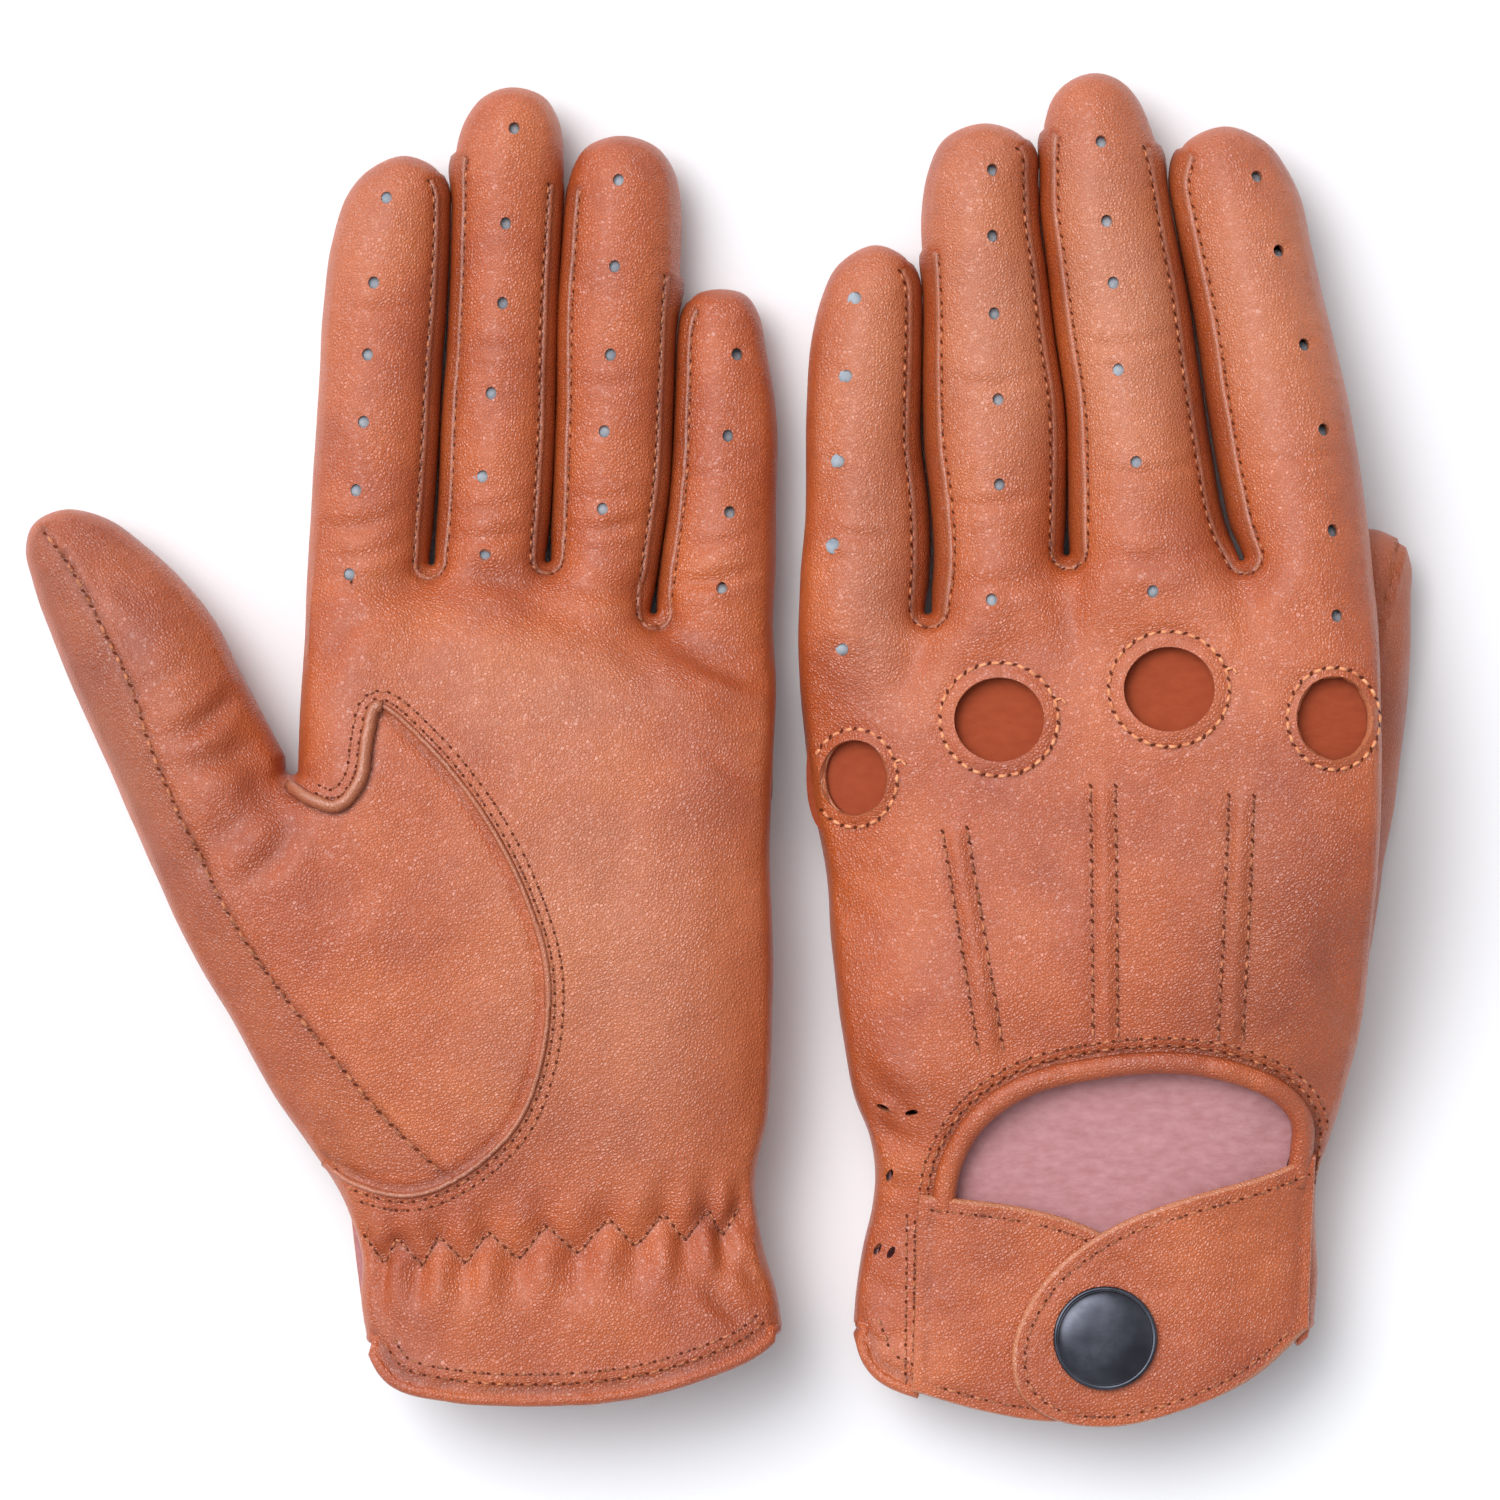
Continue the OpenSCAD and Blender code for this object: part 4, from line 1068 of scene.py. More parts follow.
def leather(name, dark, mid, light, grain=0.6, roughness=(0.38, 0.48), raw=(196, 128, 92)):
    """Smooth sheepskin: mottled tan, a fine pebble grain, darker between its pebbles, with painted shade in
    folds, furrows and seams, painted light and shade over broad areas, and paler where cut.
    """
    m = Shader(name, 0.45, specular=0.8, coat=0.3, coat_roughness=0.36)
    broad = m.noise(55, 3)
    colour = m.ramp(broad, [(0.3, rgb(*dark)), (0.5, rgb(*mid)), (0.72, rgb(*light))])
    fine = m.scaled(m.noise(520, 4), 0.3, 0.7, 0.0, 1.0)
    colour = m.mix(m.scaled(fine, 0, 1, 0.0, 0.22), colour, rgb(*dark))
    cell = m.cells(1750)
    colour = m.mix(m.scaled(cell, 0.0, 0.12, 0.28, 0.0), colour, rgb(*[c * 0.62 for c in dark]))
    shade = m.shade()
    # the shade attribute below 0: painted shade, darkening towards deep brown
    colour = m.mix(m.scaled(shade, 0.0, -1.0, 0.0, 0.85), colour, rgb(92, 38, 18))
    # the shade attribute above 0: the paler colour of cut edges, and painted light on broad paler areas
    colour = m.mix(m.scaled(shade, 0.0, 1.0, 0.0, 1.0), colour, rgb(*raw))
    m.join(colour, m.bsdf.inputs["Base Color"])
    m.join(m.scaled(m.noise(240, 3), 0.3, 0.7, *roughness), m.bsdf.inputs["Roughness"])
    m.bumps((m.noise(150, 3), 0.4, 0.001), (m.noise(330, 4, (0.5, 1.7, 1)), 0.2, 0.0006),
            (m.scaled(cell, 0.0, 0.4), 0.9 * grain, 0.0003))
    return m.material


def suede(name, dark, light):
    """The flesh side of the leather: matt and fibrous."""
    m = Shader(name, 0.92, specular=0.15, sheen=0.35)
    colour = m.ramp(m.noise(420, 5, (1, 1.9, 1)), [(0.25, rgb(*dark)), (0.75, rgb(*light))])
    m.join(colour, m.bsdf.inputs["Base Color"])
    m.bumps((m.noise(520, 4, (1, 2.2, 1)), 0.3, 0.0004), (m.noise(2400, 3), 0.4, 0.00015))
    return m.material


def thread(name, dark, light):
    """Waxed sewing thread with a fine twist."""
    m = Shader(name, 0.55, specular=0.4, sheen=0.2)
    m.join(m.ramp(m.noise(900, 2), [(0.35, rgb(*dark)), (0.65, rgb(*light))]), m.bsdf.inputs["Base Color"])
    m.bumps((m.noise(5200, 2, (1, 1.6, 1)), 0.5, 0.00015))
    return m.material


def plain(name, dark, light, roughness, scale=400):
    m = Shader(name, roughness, specular=0.2)
    m.join(m.ramp(m.noise(scale, 3), [(0.3, rgb(*dark)), (0.7, rgb(*light))]), m.bsdf.inputs["Base Color"])
    m.bumps((m.noise(scale * 5, 3), 0.3, 0.0002))
    return m.material


def gunmetal(name, dark, light, roughness):
    """Antiqued metal: smoky, worn paler in patches, with a fine brushed grain."""
    m = Shader(name, 0.3, metallic=1.0, specular=0.5, coat=0.25, coat_roughness=0.2)
    cloud = m.noise(110, 2)
    m.join(m.ramp(cloud, [(0.3, rgb(*dark)), (0.7, rgb(*light))]), m.bsdf.inputs["Base Color"])
    m.join(m.scaled(m.noise(600, 4), 0.3, 0.7, *roughness), m.bsdf.inputs["Roughness"])
    m.bumps((m.noise(900, 3, (1, 6, 1)), 0.12, 0.0001), (m.noise(260, 3), 0.1, 0.0002))
    return m.material


TAN = dict(dark=(170, 71, 24), mid=(188, 86, 32), light=(202, 101, 45))
LEATHER = {
    "tan_leather": leather("tan_leather_finish", **TAN),
    "edge_leather": leather("edge_leather_finish", (146, 68, 36), (170, 88, 52), (186, 102, 66), grain=0.35),
    "suede_inside": suede("suede_inside_finish", (178, 122, 123), (198, 146, 148)),
    # the flesh side darkened to brown: painted shade deep behind the knuckle holes
    "suede_in_painted_shade": suede("suede_palm_finish", (146, 62, 34), (158, 72, 42)),
    "thread": thread("thread_finish", (112, 48, 24), (206, 128, 84)),
    "thread_pale": thread("thread_pale_finish", (206, 122, 78), (246, 170, 120)),
    # the needle holes' darkness: painted shade
    "needle_hole_shade": plain("needle_mark_finish", (84, 36, 18), (100, 46, 24), 0.9),
    "elastic": thread("elastic_finish", (196, 186, 170), (224, 216, 202)),
    "vent_back": plain("vent_back_finish", (138, 150, 162), (176, 184, 190), 0.8),
    "snap_metal": gunmetal("snap_metal_finish", (52, 54, 62), (96, 98, 108), (0.26, 0.42)),
    "snap_spring": gunmetal("snap_spring_finish", (120, 112, 100), (170, 162, 150), (0.25, 0.4)),
}


# ---------------------------------------------------------------- making pieces
def body_blend(glove, part):
    """Where a finger, thumb or strap bends: two bodies, and the points in metres between which it turns."""
    hand, moving = f"{glove.name}_hand", f"{glove.name}_{part}"
    if part == "strap":
        x, z = STRAP_FOLD[glove.number]
        return hand, moving, *(np.array([x - glove.side * d, -84.0, z]) * MM for d in (-2.5, 6.0))
    fingers = [finger_name(glove.plan, i) for i in range(4)]
    hinge, tip, *_ = glove.plan["thumb"] if part == "thumb" else glove.plan["fingers"][fingers.index(part)]
    h = np.array(hinge)
    d = unit(np.array(tip) - h)
    d[2] = 0
    reach = 9.0 if part == "thumb" else 7.5
    return hand, moving, (h - reach * d) * MM, (h + reach * d) * MM


def make_piece(glove, name, verts, faces, materials, shade, face_material, slot, part="hand", nodes=(),
               normals=None):
    """A finished piece from vertices in millimetres, with its looks and the nodes it replaces; it hangs from
    its body, except on a finger, the thumb or the strap's leather, where it is left free.
    """
    if "snap" not in name:
        # the glove's own weight flattens what lies against the table
        soft_below, squeeze = SETTLING[glove.number]
        low = verts[:, 2] < soft_below
        verts[low, 2] = soft_below - (soft_below - verts[low, 2]) * squeeze
    mesh = bpy.data.meshes.new(name)
    mesh.from_pydata((verts * MM).tolist(), [], [list(map(int, f)) for f in faces])
    for look in [materials] if isinstance(materials, str) else materials:
        mesh.materials.append(LEATHER[look])
    mesh.polygons.foreach_set("material_index", np.array(face_material, np.int32))
    mesh.attributes.new("shade", "FLOAT", "POINT").data.foreach_set("value", np.asarray(shade, np.float32))
    mesh.validate()
    mesh.shade_smooth()
    if normals is not None and len(normals) == len(mesh.vertices):
        mesh.normals_split_custom_set_from_vertices([tuple(n) for n in normals])
    mesh.update()
    piece = bpy.data.objects.new(f"{glove.name}_{name}", mesh)
    bpy.context.scene.collection.objects.link(piece)
    if nodes:
        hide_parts(*[f"{glove.name}_{n}" for n in nodes])
    if part in FINGERS + ["thumb"] or part == "strap" and "snap" not in name:
        a, b, start, end = body_blend(glove, part)
        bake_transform(piece)
    else:
        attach(piece, f"{glove.name}_{part}")


class Pile:
    """Vertices and faces gathered for one piece."""

    def __init__(self):
        self.verts, self.faces, self.shade, self.material, self.count = [], [], [], [], 0

    def add(self, verts, faces, shade=0.0, material=0):
        verts = np.asarray(verts, float)
        self.faces += [[i + self.count for i in f] for f in faces]
        self.verts.append(verts)
        self.shade.append(np.broadcast_to(np.asarray(shade, float), (len(verts),)))
        self.material += [material] * len(faces)
        self.count += len(verts)

    def make(self, glove, name, materials, **options):
        if self.count:
            make_piece(glove, name, np.vstack(self.verts), self.faces, materials, np.concatenate(self.shade),
                       self.material, **options)


def skin_pieces(glove):
    """Cuts the skin into its sewn pieces: outer face, cut edges of openings, and the hand's flesh side."""
    owner = {pair: label for face, label in zip(glove.faces, glove.labels)
             for pair in zip(face, face[1:] + face[:1])}
    rims = {}
    for kind, side, edges in glove.edge_loops:
        for a, b in edges:
            pair = (a, b) if side > 0 else (b, a)
            if pair in owner:
                rims.setdefault(owner[pair], []).append((*pair, kind))
    labels = np.array(glove.labels, dtype=object)
    for name in sorted(set(glove.labels)):
        picked = [glove.faces[i] for i in np.flatnonzero(labels == name)]
        used = sorted({i for f in picked for i in f})
        new = {old: i for i, old in enumerate(used)}
        faces = [[new[i] for i in f] for f in picked]
        points, outward = glove.verts[used], glove.normals[used]
        pile, normals = Pile(), [outward]
        pile.add(points, faces, glove.shade[used])
        if name in ("hand_back", "hand_palm", "thumb_gusset"):
            pile.add(points - SKIN * outward, facing(faces, False), 0, 1)
            normals.append(-outward)
        rim, quads, shade, made = [], [], [], {}
        for a, b, kind in rims.get(name, []):
            raw = 0.0 if kind == "hem" else 0.8
            for i in (a, b):
                if i not in made:
                    made[i] = len(rim)
                    rim += [glove.verts[i], glove.verts[i] - SKIN * glove.normals[i]]
                    shade += [raw, raw - 0.4]
            quads.append([made[b], made[a], made[a] + 1, made[b] + 1])
        if rim:
            pile.add(rim, quads, shade)
            normals.append(np.zeros((len(rim), 3)))
        pile.make(glove, name + "_skin", ["tan_leather", "suede_inside"],
                  part="hand" if name == "thumb_gusset" else name.split("_")[0],
                  nodes=[name, "back_ridges"] if name == "hand_back" else [name],
                  slot="edge_leather" if "fourchette" in name else "tan_leather", normals=np.vstack(normals))


# ---------------------------------------------------------------- stitches
class Sewing:
    """Stitches and needle marks, gathered by the part of the glove that they are on."""

    def __init__(self, glove):
        self.glove, self.piles = glove, {}

    def row(self, xy, face, pitch=2.2, lift=0.05, **looks):
        """One row along a plan line on a face, as far as it stays clear of the outline."""
        line = evenly(np.asarray(xy, float), pitch)
        if len(line) < 3:
            return
        points, normals = self.glove.on_skin(line, face, lift)
        plan = points[:, :2]
        within = inside(plan, self.glove.line) | (plan[:, 1] < HEM_TOP)
        self.sew(points, normals, keep=within & (self.glove.from_side(plan) > 0.5), **looks)

    def sew(self, points, normals, part=None, length=1.35, radius=0.24, colour=0, marks=True,
            long_marks=False, keep=None):
        """A stitch from each point to the next, and the mark of the needle before it."""
        for i in range(len(points) - 1):
            if keep is not None and not (keep[i] and keep[i + 1]):
                continue
            n = unit(normals[i] + normals[i + 1])
            t = points[i + 1] - points[i]
            t -= n * (t @ n)
            t /= np.linalg.norm(t) + 1e-9
            side = np.cross(n, t)
            pile = self.piles.setdefault(part or self.glove.part_of(points[i][:2]), Pile())
            centre = (points[i] + points[i + 1]) / 2
            pile.add(*stitch_shape(centre, t, side, n, length, radius), material=colour)
            if marks:
                slant, size = (t + 0.45 * side, 0.42) if long_marks else (t, 0.34)
                pile.add(*mark_shape(points[i] + n * 0.05, slant, side, n, size), material=1)

    def make(self):
        for part, pile in self.piles.items():
            pile.make(self.glove, f"{part}_stitching", ["thread", "needle_hole_shade", "thread_pale"], part=part,
                      slot="thread")


def stitch_shape(centre, t, side, n, length, radius):
    """A short thread that rises out of the leather and dips back into it."""
    verts = []
    for x, size, rise in ((-0.5, 0.45, -0.25), (-0.3, 1, 0.05), (0.3, 1, 0.05), (0.5, 0.45, -0.25)):
        for a in turns(6):
            verts.append(centre + t * (x * length) + side * (radius * size * math.cos(a))
                         + n * (radius * size * math.sin(a) + rise))
    return verts, bands(4, 6) + [[5, 4, 3, 2, 1, 0], [18, 19, 20, 21, 22, 23]]


def mark_shape(centre, t, side, n, radius):
    """The small dimple where the needle went in, dark with painted shade."""
    rim = [centre + radius * (math.cos(a) * t + 0.7 * math.sin(a) * side) for a in turns(7)]
    return [centre + n * 0.04] + rim, [[0, 1 + k, 1 + (k + 1) % 7] for k in range(7)]


def needle_rows(glove, sewing):
    """Every row of stitching on the hand, thumb and cuff."""
    hem = glove.hem
    inward = 1 if signed_area(hem) < 0 else -1
    for face in (1, -1):
        for name, line in glove.seam_lines(face).items():
            if name == "gusset":
                for away in (1.15, 2.55):
                    beside = offset(line[6:], glove.side * away)
                    sewing.row(beside, face, pitch=1.95, length=1.15, radius=0.17, part="hand")
            else:
                sewing.row(offset(line[4:], 0.35), face, pitch=2.9, length=1.7, radius=0.3, long_marks=True)
        if glove.is_back(face):
            back_rows(glove, sewing, face)
            ends = glove.place([OPENING_SIDES[0], OPENING_SIDES[2]])[:, 0]
            for part in (hem[hem[:, 0] < min(ends) - 0.8], hem[hem[:, 0] > max(ends) + 0.8]):
                if len(part) > 5:
                    sewing.row(offset(part, inward * 4.0), face, pitch=2.4, length=1.3, part="hand")
        else:
            for away in HEM_ROWS:
                beside = offset(hem, inward * away)[2:-2]
                sewing.row(beside, face, pitch=2.3, length=1.3, radius=0.2, part="hand")
            sewing.row(evenly(glove.zigzag(), 0.8), face, pitch=1.7, length=1.1, radius=0.2, part="hand")


def back_rows(glove, sewing, face):
    """Stitched rings, the rows beside the three ridges and those round the wrist opening."""
    for u, y, _, _, rx, ry in KNUCKLE_HOLES:
        ring = oval(glove.place([u, y])[0], rx, ry, np.linspace(0, 2 * math.pi, 120) + 0.4)
        for s, e in runs(inside(ring, glove.line) & (glove.from_side(ring) > 0.5)):
            sewing.row(ring[s:e], face, pitch=2.15, length=1.45, radius=0.3, part="hand", colour=2,
                       long_marks=True)
        if glove.back_up and u < 0.8:
            # the loose end of the thread
            sewing.row(ring[118] + np.array([[0, 0], [1.1, 0.3], [1.9, -0.7]]), face, pitch=1.0, length=1.2,
                       radius=0.22, part="hand", colour=2, marks=False, lift=0.25)
    for u0, y0, u1, y1 in RIDGES:
        line = evenly(glove.place([[u0, y0], [u1, y1]]), 0.8)
        for away in (-2.0, 2.0):
            sewing.row(offset(line, away), face, pitch=2.45, length=1.6, radius=0.2, part="hand",
                       long_marks=True)
    arch = curve(glove.place(ARCH), 0.8)
    for away in (4.15, 5.4):
        sewing.row(offset(arch, -glove.side * away), face, pitch=2.3, length=1.35, radius=0.2, part="hand")
    for row in STRAP_END_ROWS:
        sewing.row(curve(glove.place(row), 0.8), face, pitch=2.3, length=1.4, radius=0.2, part="hand")


# ---------------------------------------------------------------- edges of leather
def sweep(pile, points, normals, section, shade=0.0, closed=False, outward=1):
    """A band of that cross-section, [across, up], along points on the skin."""
    points, count = np.asarray(points), len(section)
    if closed:
        t = np.roll(points, -1, axis=0) - np.roll(points, 1, axis=0)
    else:
        t = np.gradient(points, axis=0)
    t /= np.linalg.norm(t, axis=1)[:, None] + 1e-12
    across = np.cross(t, normals)
    across /= np.linalg.norm(across, axis=1)[:, None] + 1e-12
    up = np.cross(across, t)
    verts = [p + a * outward * x + u * z for p, a, u in zip(points, across, up) for x, z in section]
    faces = bands(len(points), count, closed)
    if not closed:
        faces += [list(range(count))[::-1], [(len(points) - 1) * count + s for s in range(count)]]
    pile.add(verts, faces, np.tile(np.broadcast_to(np.asarray(shade, float), (count,)), len(points)))


def edge_strip(glove, name, look, points, normals, section, shade=0.0, outward=1, **options):
    """One piece, swept along points on the skin."""
    pile = Pile()
    sweep(pile, points, normals, section, shade, outward=outward)
    pile.make(glove, name, look, slot=look, **options)


def finger_seams(glove, sewing):
    """The raised seams along the fingers, on both faces."""
    piles = {}
    owner = np.array([glove.part_of(p) for p in glove.line], dtype=object)
    inner = glove.line + glove.normal * (SEAM_INSET + (0.95 if glove.back_up else 0.7))
    for face in (1, -1):
        ids = np.array(glove.ring_ids[face])
        points, normals = glove.verts[ids], glove.normals[ids]
        for start, end in runs(glove.is_strip):
            changes = start + 1 + np.flatnonzero(owner[start + 1:end] != owner[start:end - 1])
            for s, e in zip([start, *changes], [*changes, end]):
                last = min(e + 1, end)
                if last - s > 3:
                    sweep(piles.setdefault(owner[s], Pile()), points[s:last], normals[s:last],
                          LIPS[glove.number][::face], LIP_SHADES[glove.number][::face], outward=-face)
            if end - start > 8:
                sewing.row(inner[start:end], face, pitch=2.15, length=1.2, radius=0.2,
                           long_marks=glove.back_up)
    for part, pile in piles.items():
        pile.make(glove, f"{part}_seam_edges", "edge_leather", part=part, slot="edge_leather")


def edge_pieces(glove):
    """Bound, rolled and raw edges: the opening's binding, the hem's roll and the thumb's seam."""
    points, normals = glove.over_hand(curve(glove.place(ARCH), 0.9), glove.side)
    edge_strip(glove, "opening_binding_tube", "tan_leather", points, normals, BINDING, BINDING_SHADES, -1,
               nodes=["opening_binding"])
    pile = Pile()
    for face in (1, -1):
        for ids in hem_ids(glove, face):
            if len(ids[2:-2]) > 3:
                sweep(pile, glove.verts[ids[2:-2]], level(glove.normals[ids[2:-2]]),
                      oval((0, -0.75), 1.05, 1.05, turns(12)))
    pile.make(glove, "cuff_hem_roll", "tan_leather", nodes=["cuff_hem"], slot="tan_leather")
    palm = -glove.side
    line = curve(glove.place(GUSSET), 0.8)
    line = line[inside(line, glove.line) & (glove.from_side(line) > (0.3 if palm > 0 else 1.4))]
    points, normals = glove.on_skin(line, palm)
    peak = int(np.argmin(np.linalg.norm(line - glove.place(GUSSET_PEAK), axis=1)))
    edge_strip(glove, "gusset_seam_edge", "edge_leather", points[peak - 1:], normals[peak - 1:], GUSSET_LIP,
               GUSSET_LIP_SHADES, -1)
    edge_strip(glove, "thumb_welt_strip", "edge_leather", points[:peak + 2], normals[:peak + 2], WELT,
               WELT_SHADES, -1, nodes=["thumb_welt"])


def level(normals):
    """Normals averaged with their neighbours, for a calmer sweep."""
    n = normals.copy()
    for _ in range(4):
        n[1:-1] = (n[:-2] + n[1:-1] + n[2:]) / 3
        n /= np.linalg.norm(n, axis=1)[:, None]
    return n


def hem_ids(glove, face):
    """Skin points along the hem of one face, with the ends of the walls, as runs from left to right."""
    pairs = [e for kind, side, edges in glove.edge_loops if kind == "hem" and side == face for e in edges]
    ids = sorted({i for e in pairs for i in e}, key=lambda i: glove.xy[i][0])
    left, right = glove.mouth[face]
    ids = [i for i in left if i not in ids] + ids + [i for i in right if i not in ids]
    gap = np.linalg.norm(np.diff(glove.xy[ids], axis=0), axis=1) > 6
    cuts = [0, *(np.flatnonzero(gap) + 1), len(ids)]
    return [ids[a:b] for a, b in zip(cuts, cuts[1:])]


# ---------------------------------------------------------------- straps, linings and small parts
def patch(glove, outline, spacing, low, thick, bevel=None, holes=(), dent=None, raw=0.8):
    """A closed sheet of leather over a plan outline, lying low(points) above the back of the hand."""
    side = glove.side
    outline = outline if signed_area(outline) < 0 else outline[::-1]
    wide = bevel(outline) if bevel else np.zeros(len(outline))
    inner = outline + normals_2d(outline, closed=True) * wide[:, None]
    flat, tris, where = triangulate([inner, *holes], [], spacing)
    base = relaxed(glove.over_hand(flat, side)[0][:, 2], tris, 0.6, 6)
    lows = low(flat)
    bottom = base + side * lows
    edge = Near(evenly(np.vstack([outline, outline[:1]]), 0.4))(flat)
    wrinkle = np.array([noise.noise((x * 0.12, y * 0.3, 2.2)) for x, y in flat])
    top = base + side * (lows + thick - 0.25 * (1 - smooth(0, 1.2, edge - wide.min())))
    top += side * 0.22 * wrinkle * smooth(1, 5, edge)
    # the shade follows the wrinkles: paler on their rises, darker in their hollows
    shade = 0.12 * wrinkle
    # painted shade in the furrow beside the stitches
    if dent:
        top -= side * 0.28 * hump(edge - dent, 0.5)
        shade -= 0.25 * hump(edge - dent, 0.5)
    pile = Pile()
    pile.add(np.column_stack([flat, top]), facing(tris.tolist(), side > 0), shade)
    pile.add(np.column_stack([flat, bottom]), facing(tris.tolist(), side < 0), 0, 1)
    count = len(outline)
    rim = where[:count]
    rows = [(inner, top[rim]), (inner * 0.55 + outline * 0.45, top[rim] - side * 0.12 * thick),
            (outline, bottom[rim] + side * 0.45 * thick), (outline, bottom[rim] + side * 0.15 * thick),
            (inner, bottom[rim])]
    pile.add(np.vstack([np.column_stack(row) for row in rows]), facing(bands(len(rows), count), side > 0),
             np.repeat([raw * 0.6, raw, raw * 0.85, raw * 0.3, 0.0], count))
    for hole in holes:
        ids = where[count:count + len(hole)]
        count += len(hole)
        verts = np.vstack([np.column_stack([flat[ids], z[ids]]) for z in (top, bottom)])
        pile.add(verts, facing(bands(2, len(hole)), (signed_area(hole) > 0) == (side > 0)), 0.3)
    return pile


def straps(glove, sewing):
    """The two tabs that close the wrist opening, with a hole for the snap in each."""
    middle, index_side = glove.place([[0, -90], [1, -90]])[:, 0]

    def over_base(p):
        """The upper tab lies on the lower one, and on the hand where it is sewn."""
        return 1.7 - 1.3 * smooth(0.42, 0.85, (p[:, 0] - middle) / (index_side - middle))

    def on_hand(p):
        return np.full(len(p), 0.3)

    for name, outline, hole, low, part in (("strap_base", STRAP_BASE, 2.45, on_hand, "hand"),
                                           ("strap_tab", STRAP_TAB, 5.15, over_base, "strap")):
        if not glove.back_up:
            outline = [[u, y if y > -97 else -97 + 0.6 * (y + 97)] for u, y in outline]
        free = curve(glove.place(outline), 0.9)
        sewn = evenly(np.array([free[-1], free[0]]), 0.9)[1:-1]
        near_sewn = Near(sewn)

        def bevel(p, near=near_sewn):
            return np.where(near(p) < 1.3, 0.15, 0.75 * (1 - 0.65 * smooth(-103, -107, p[:, 1])))

        pile = patch(glove, np.vstack([free, sewn]), 1.0, low, SKIN, bevel,
                     [oval(glove.place(SNAP)[0], hole, hole, turns(28))], dent=2.1)
        pile.make(glove, name + "_leather", ["tan_leather", "suede_inside"], part=part, nodes=[name],
                  slot="tan_leather")
        inward = 1 if signed_area(free) < 0 else -1
        row = evenly(offset(free, inward * 2.1)[3:-3], 2.3)
        p, n = glove.over_hand(row, glove.side)
        sewing.sew(p + n * (low(row) + SKIN - 0.2)[:, None], n, part=part, radius=0.2)


def linings(glove):
    """The palm's flesh side, as it shows through the wrist opening and the knuckle holes; behind the knuckle
    holes it is darkened to brown as painted shade.
    """
    def behind_knuckles(p):
        return -np.minimum(2.6, 1.1 * glove.heights(p)[1])

    def behind_opening(p):
        return -np.minimum(3.0 + 11.5 * smooth(-80, -103, p[:, 1]), 1.45 * glove.heights(p)[1])

    for name, look, outline, spacing, depth, thick in (
            ("hand_lining", "suede_in_painted_shade", HAND_LINING, 2.0, behind_knuckles, 0.8),
            ("opening_lining", "suede_inside", OPENING_LINING, 1.6, behind_opening, 0.9)):
        pile = patch(glove, curve(glove.place(outline), 1.5, closed=True), spacing,
                     lambda p, top=depth, down=thick: top(p) - down, thick, raw=0)
        pile.make(glove, name, [look, look], slot="suede_inside")


def vent_backs(glove):
    """A small plug behind each vent."""
    piles = {}
    for face in (1, -1):
        for x, y in VENTS[glove.number]:
            beside, normals = glove.on_skin([[x + VENT_R + 0.5, y]], face)
            n = normals[0]
            c = np.array([x, y, beside[0][2]]) - n * 1.05
            side = unit(np.cross(n, (0, 1, 0)))
            other = np.cross(n, side)
            verts = [c] + [c + 1.35 * (math.cos(a) * side + math.sin(a) * other) for a in turns(10)]
            verts += [v - n * 0.3 for v in verts]
            faces = [[0, 1 + (k + 1) % 10, 1 + k] for k in range(10)]
            faces += [[11, 12 + k, 12 + (k + 1) % 10] for k in range(10)]
            faces += [[1 + k, 1 + (k + 1) % 10, 12 + (k + 1) % 10, 12 + k] for k in range(10)]
            piles.setdefault(glove.part_of([x, y]), Pile()).add(verts, faces)
    for part, pile in piles.items():
        pile.make(glove, f"{part}_vent_backs", "vent_back", part=part, slot="suede_inside")


def knuckle_facings(glove):
    """The leather rings behind the knuckle holes, drawn in where a hole runs over the hand's side."""
    pile = Pile()
    for u, y, rx, ry, _, _ in KNUCKLE_HOLES:
        c = glove.place([u, y])[0]
        path = oval(c, rx, ry, turns(60))
        for _ in range(14):
            outside = ~inside(path, glove.line) | (glove.from_side(path) < 1.4)
            path[outside] += (c - path[outside]) * 0.05
        points, normals = glove.over_hand(path, glove.side)
        sweep(pile, points, normals, [[0.25, -1.0], [1.5, -1.0], [1.5, -1.8], [0.25, -1.8]], [0.8, 0, 0, 0.3],
              closed=True, outward=glove.side)
    pile.make(glove, "knuckle_rings_facing", "edge_leather", nodes=["knuckle_rings"], slot="edge_leather")


def wrist_elastic(glove):
    band = evenly(glove.place([[-0.62, -76.5], [0, -77.5], [0.72, -80]]), 1.0)
    points, normals = glove.on_skin(band, -glove.side, -3.6)
    wave = 0.35 * np.sin(np.arange(len(band)) * 1.4)
    edge_strip(glove, "wrist_elastic_band", "elastic", points + normals * wave[:, None], level(normals),
               [[-4, 0.4], [4, 0.4], [4, -0.4], [-4, -0.4]], nodes=["wrist_elastic"])


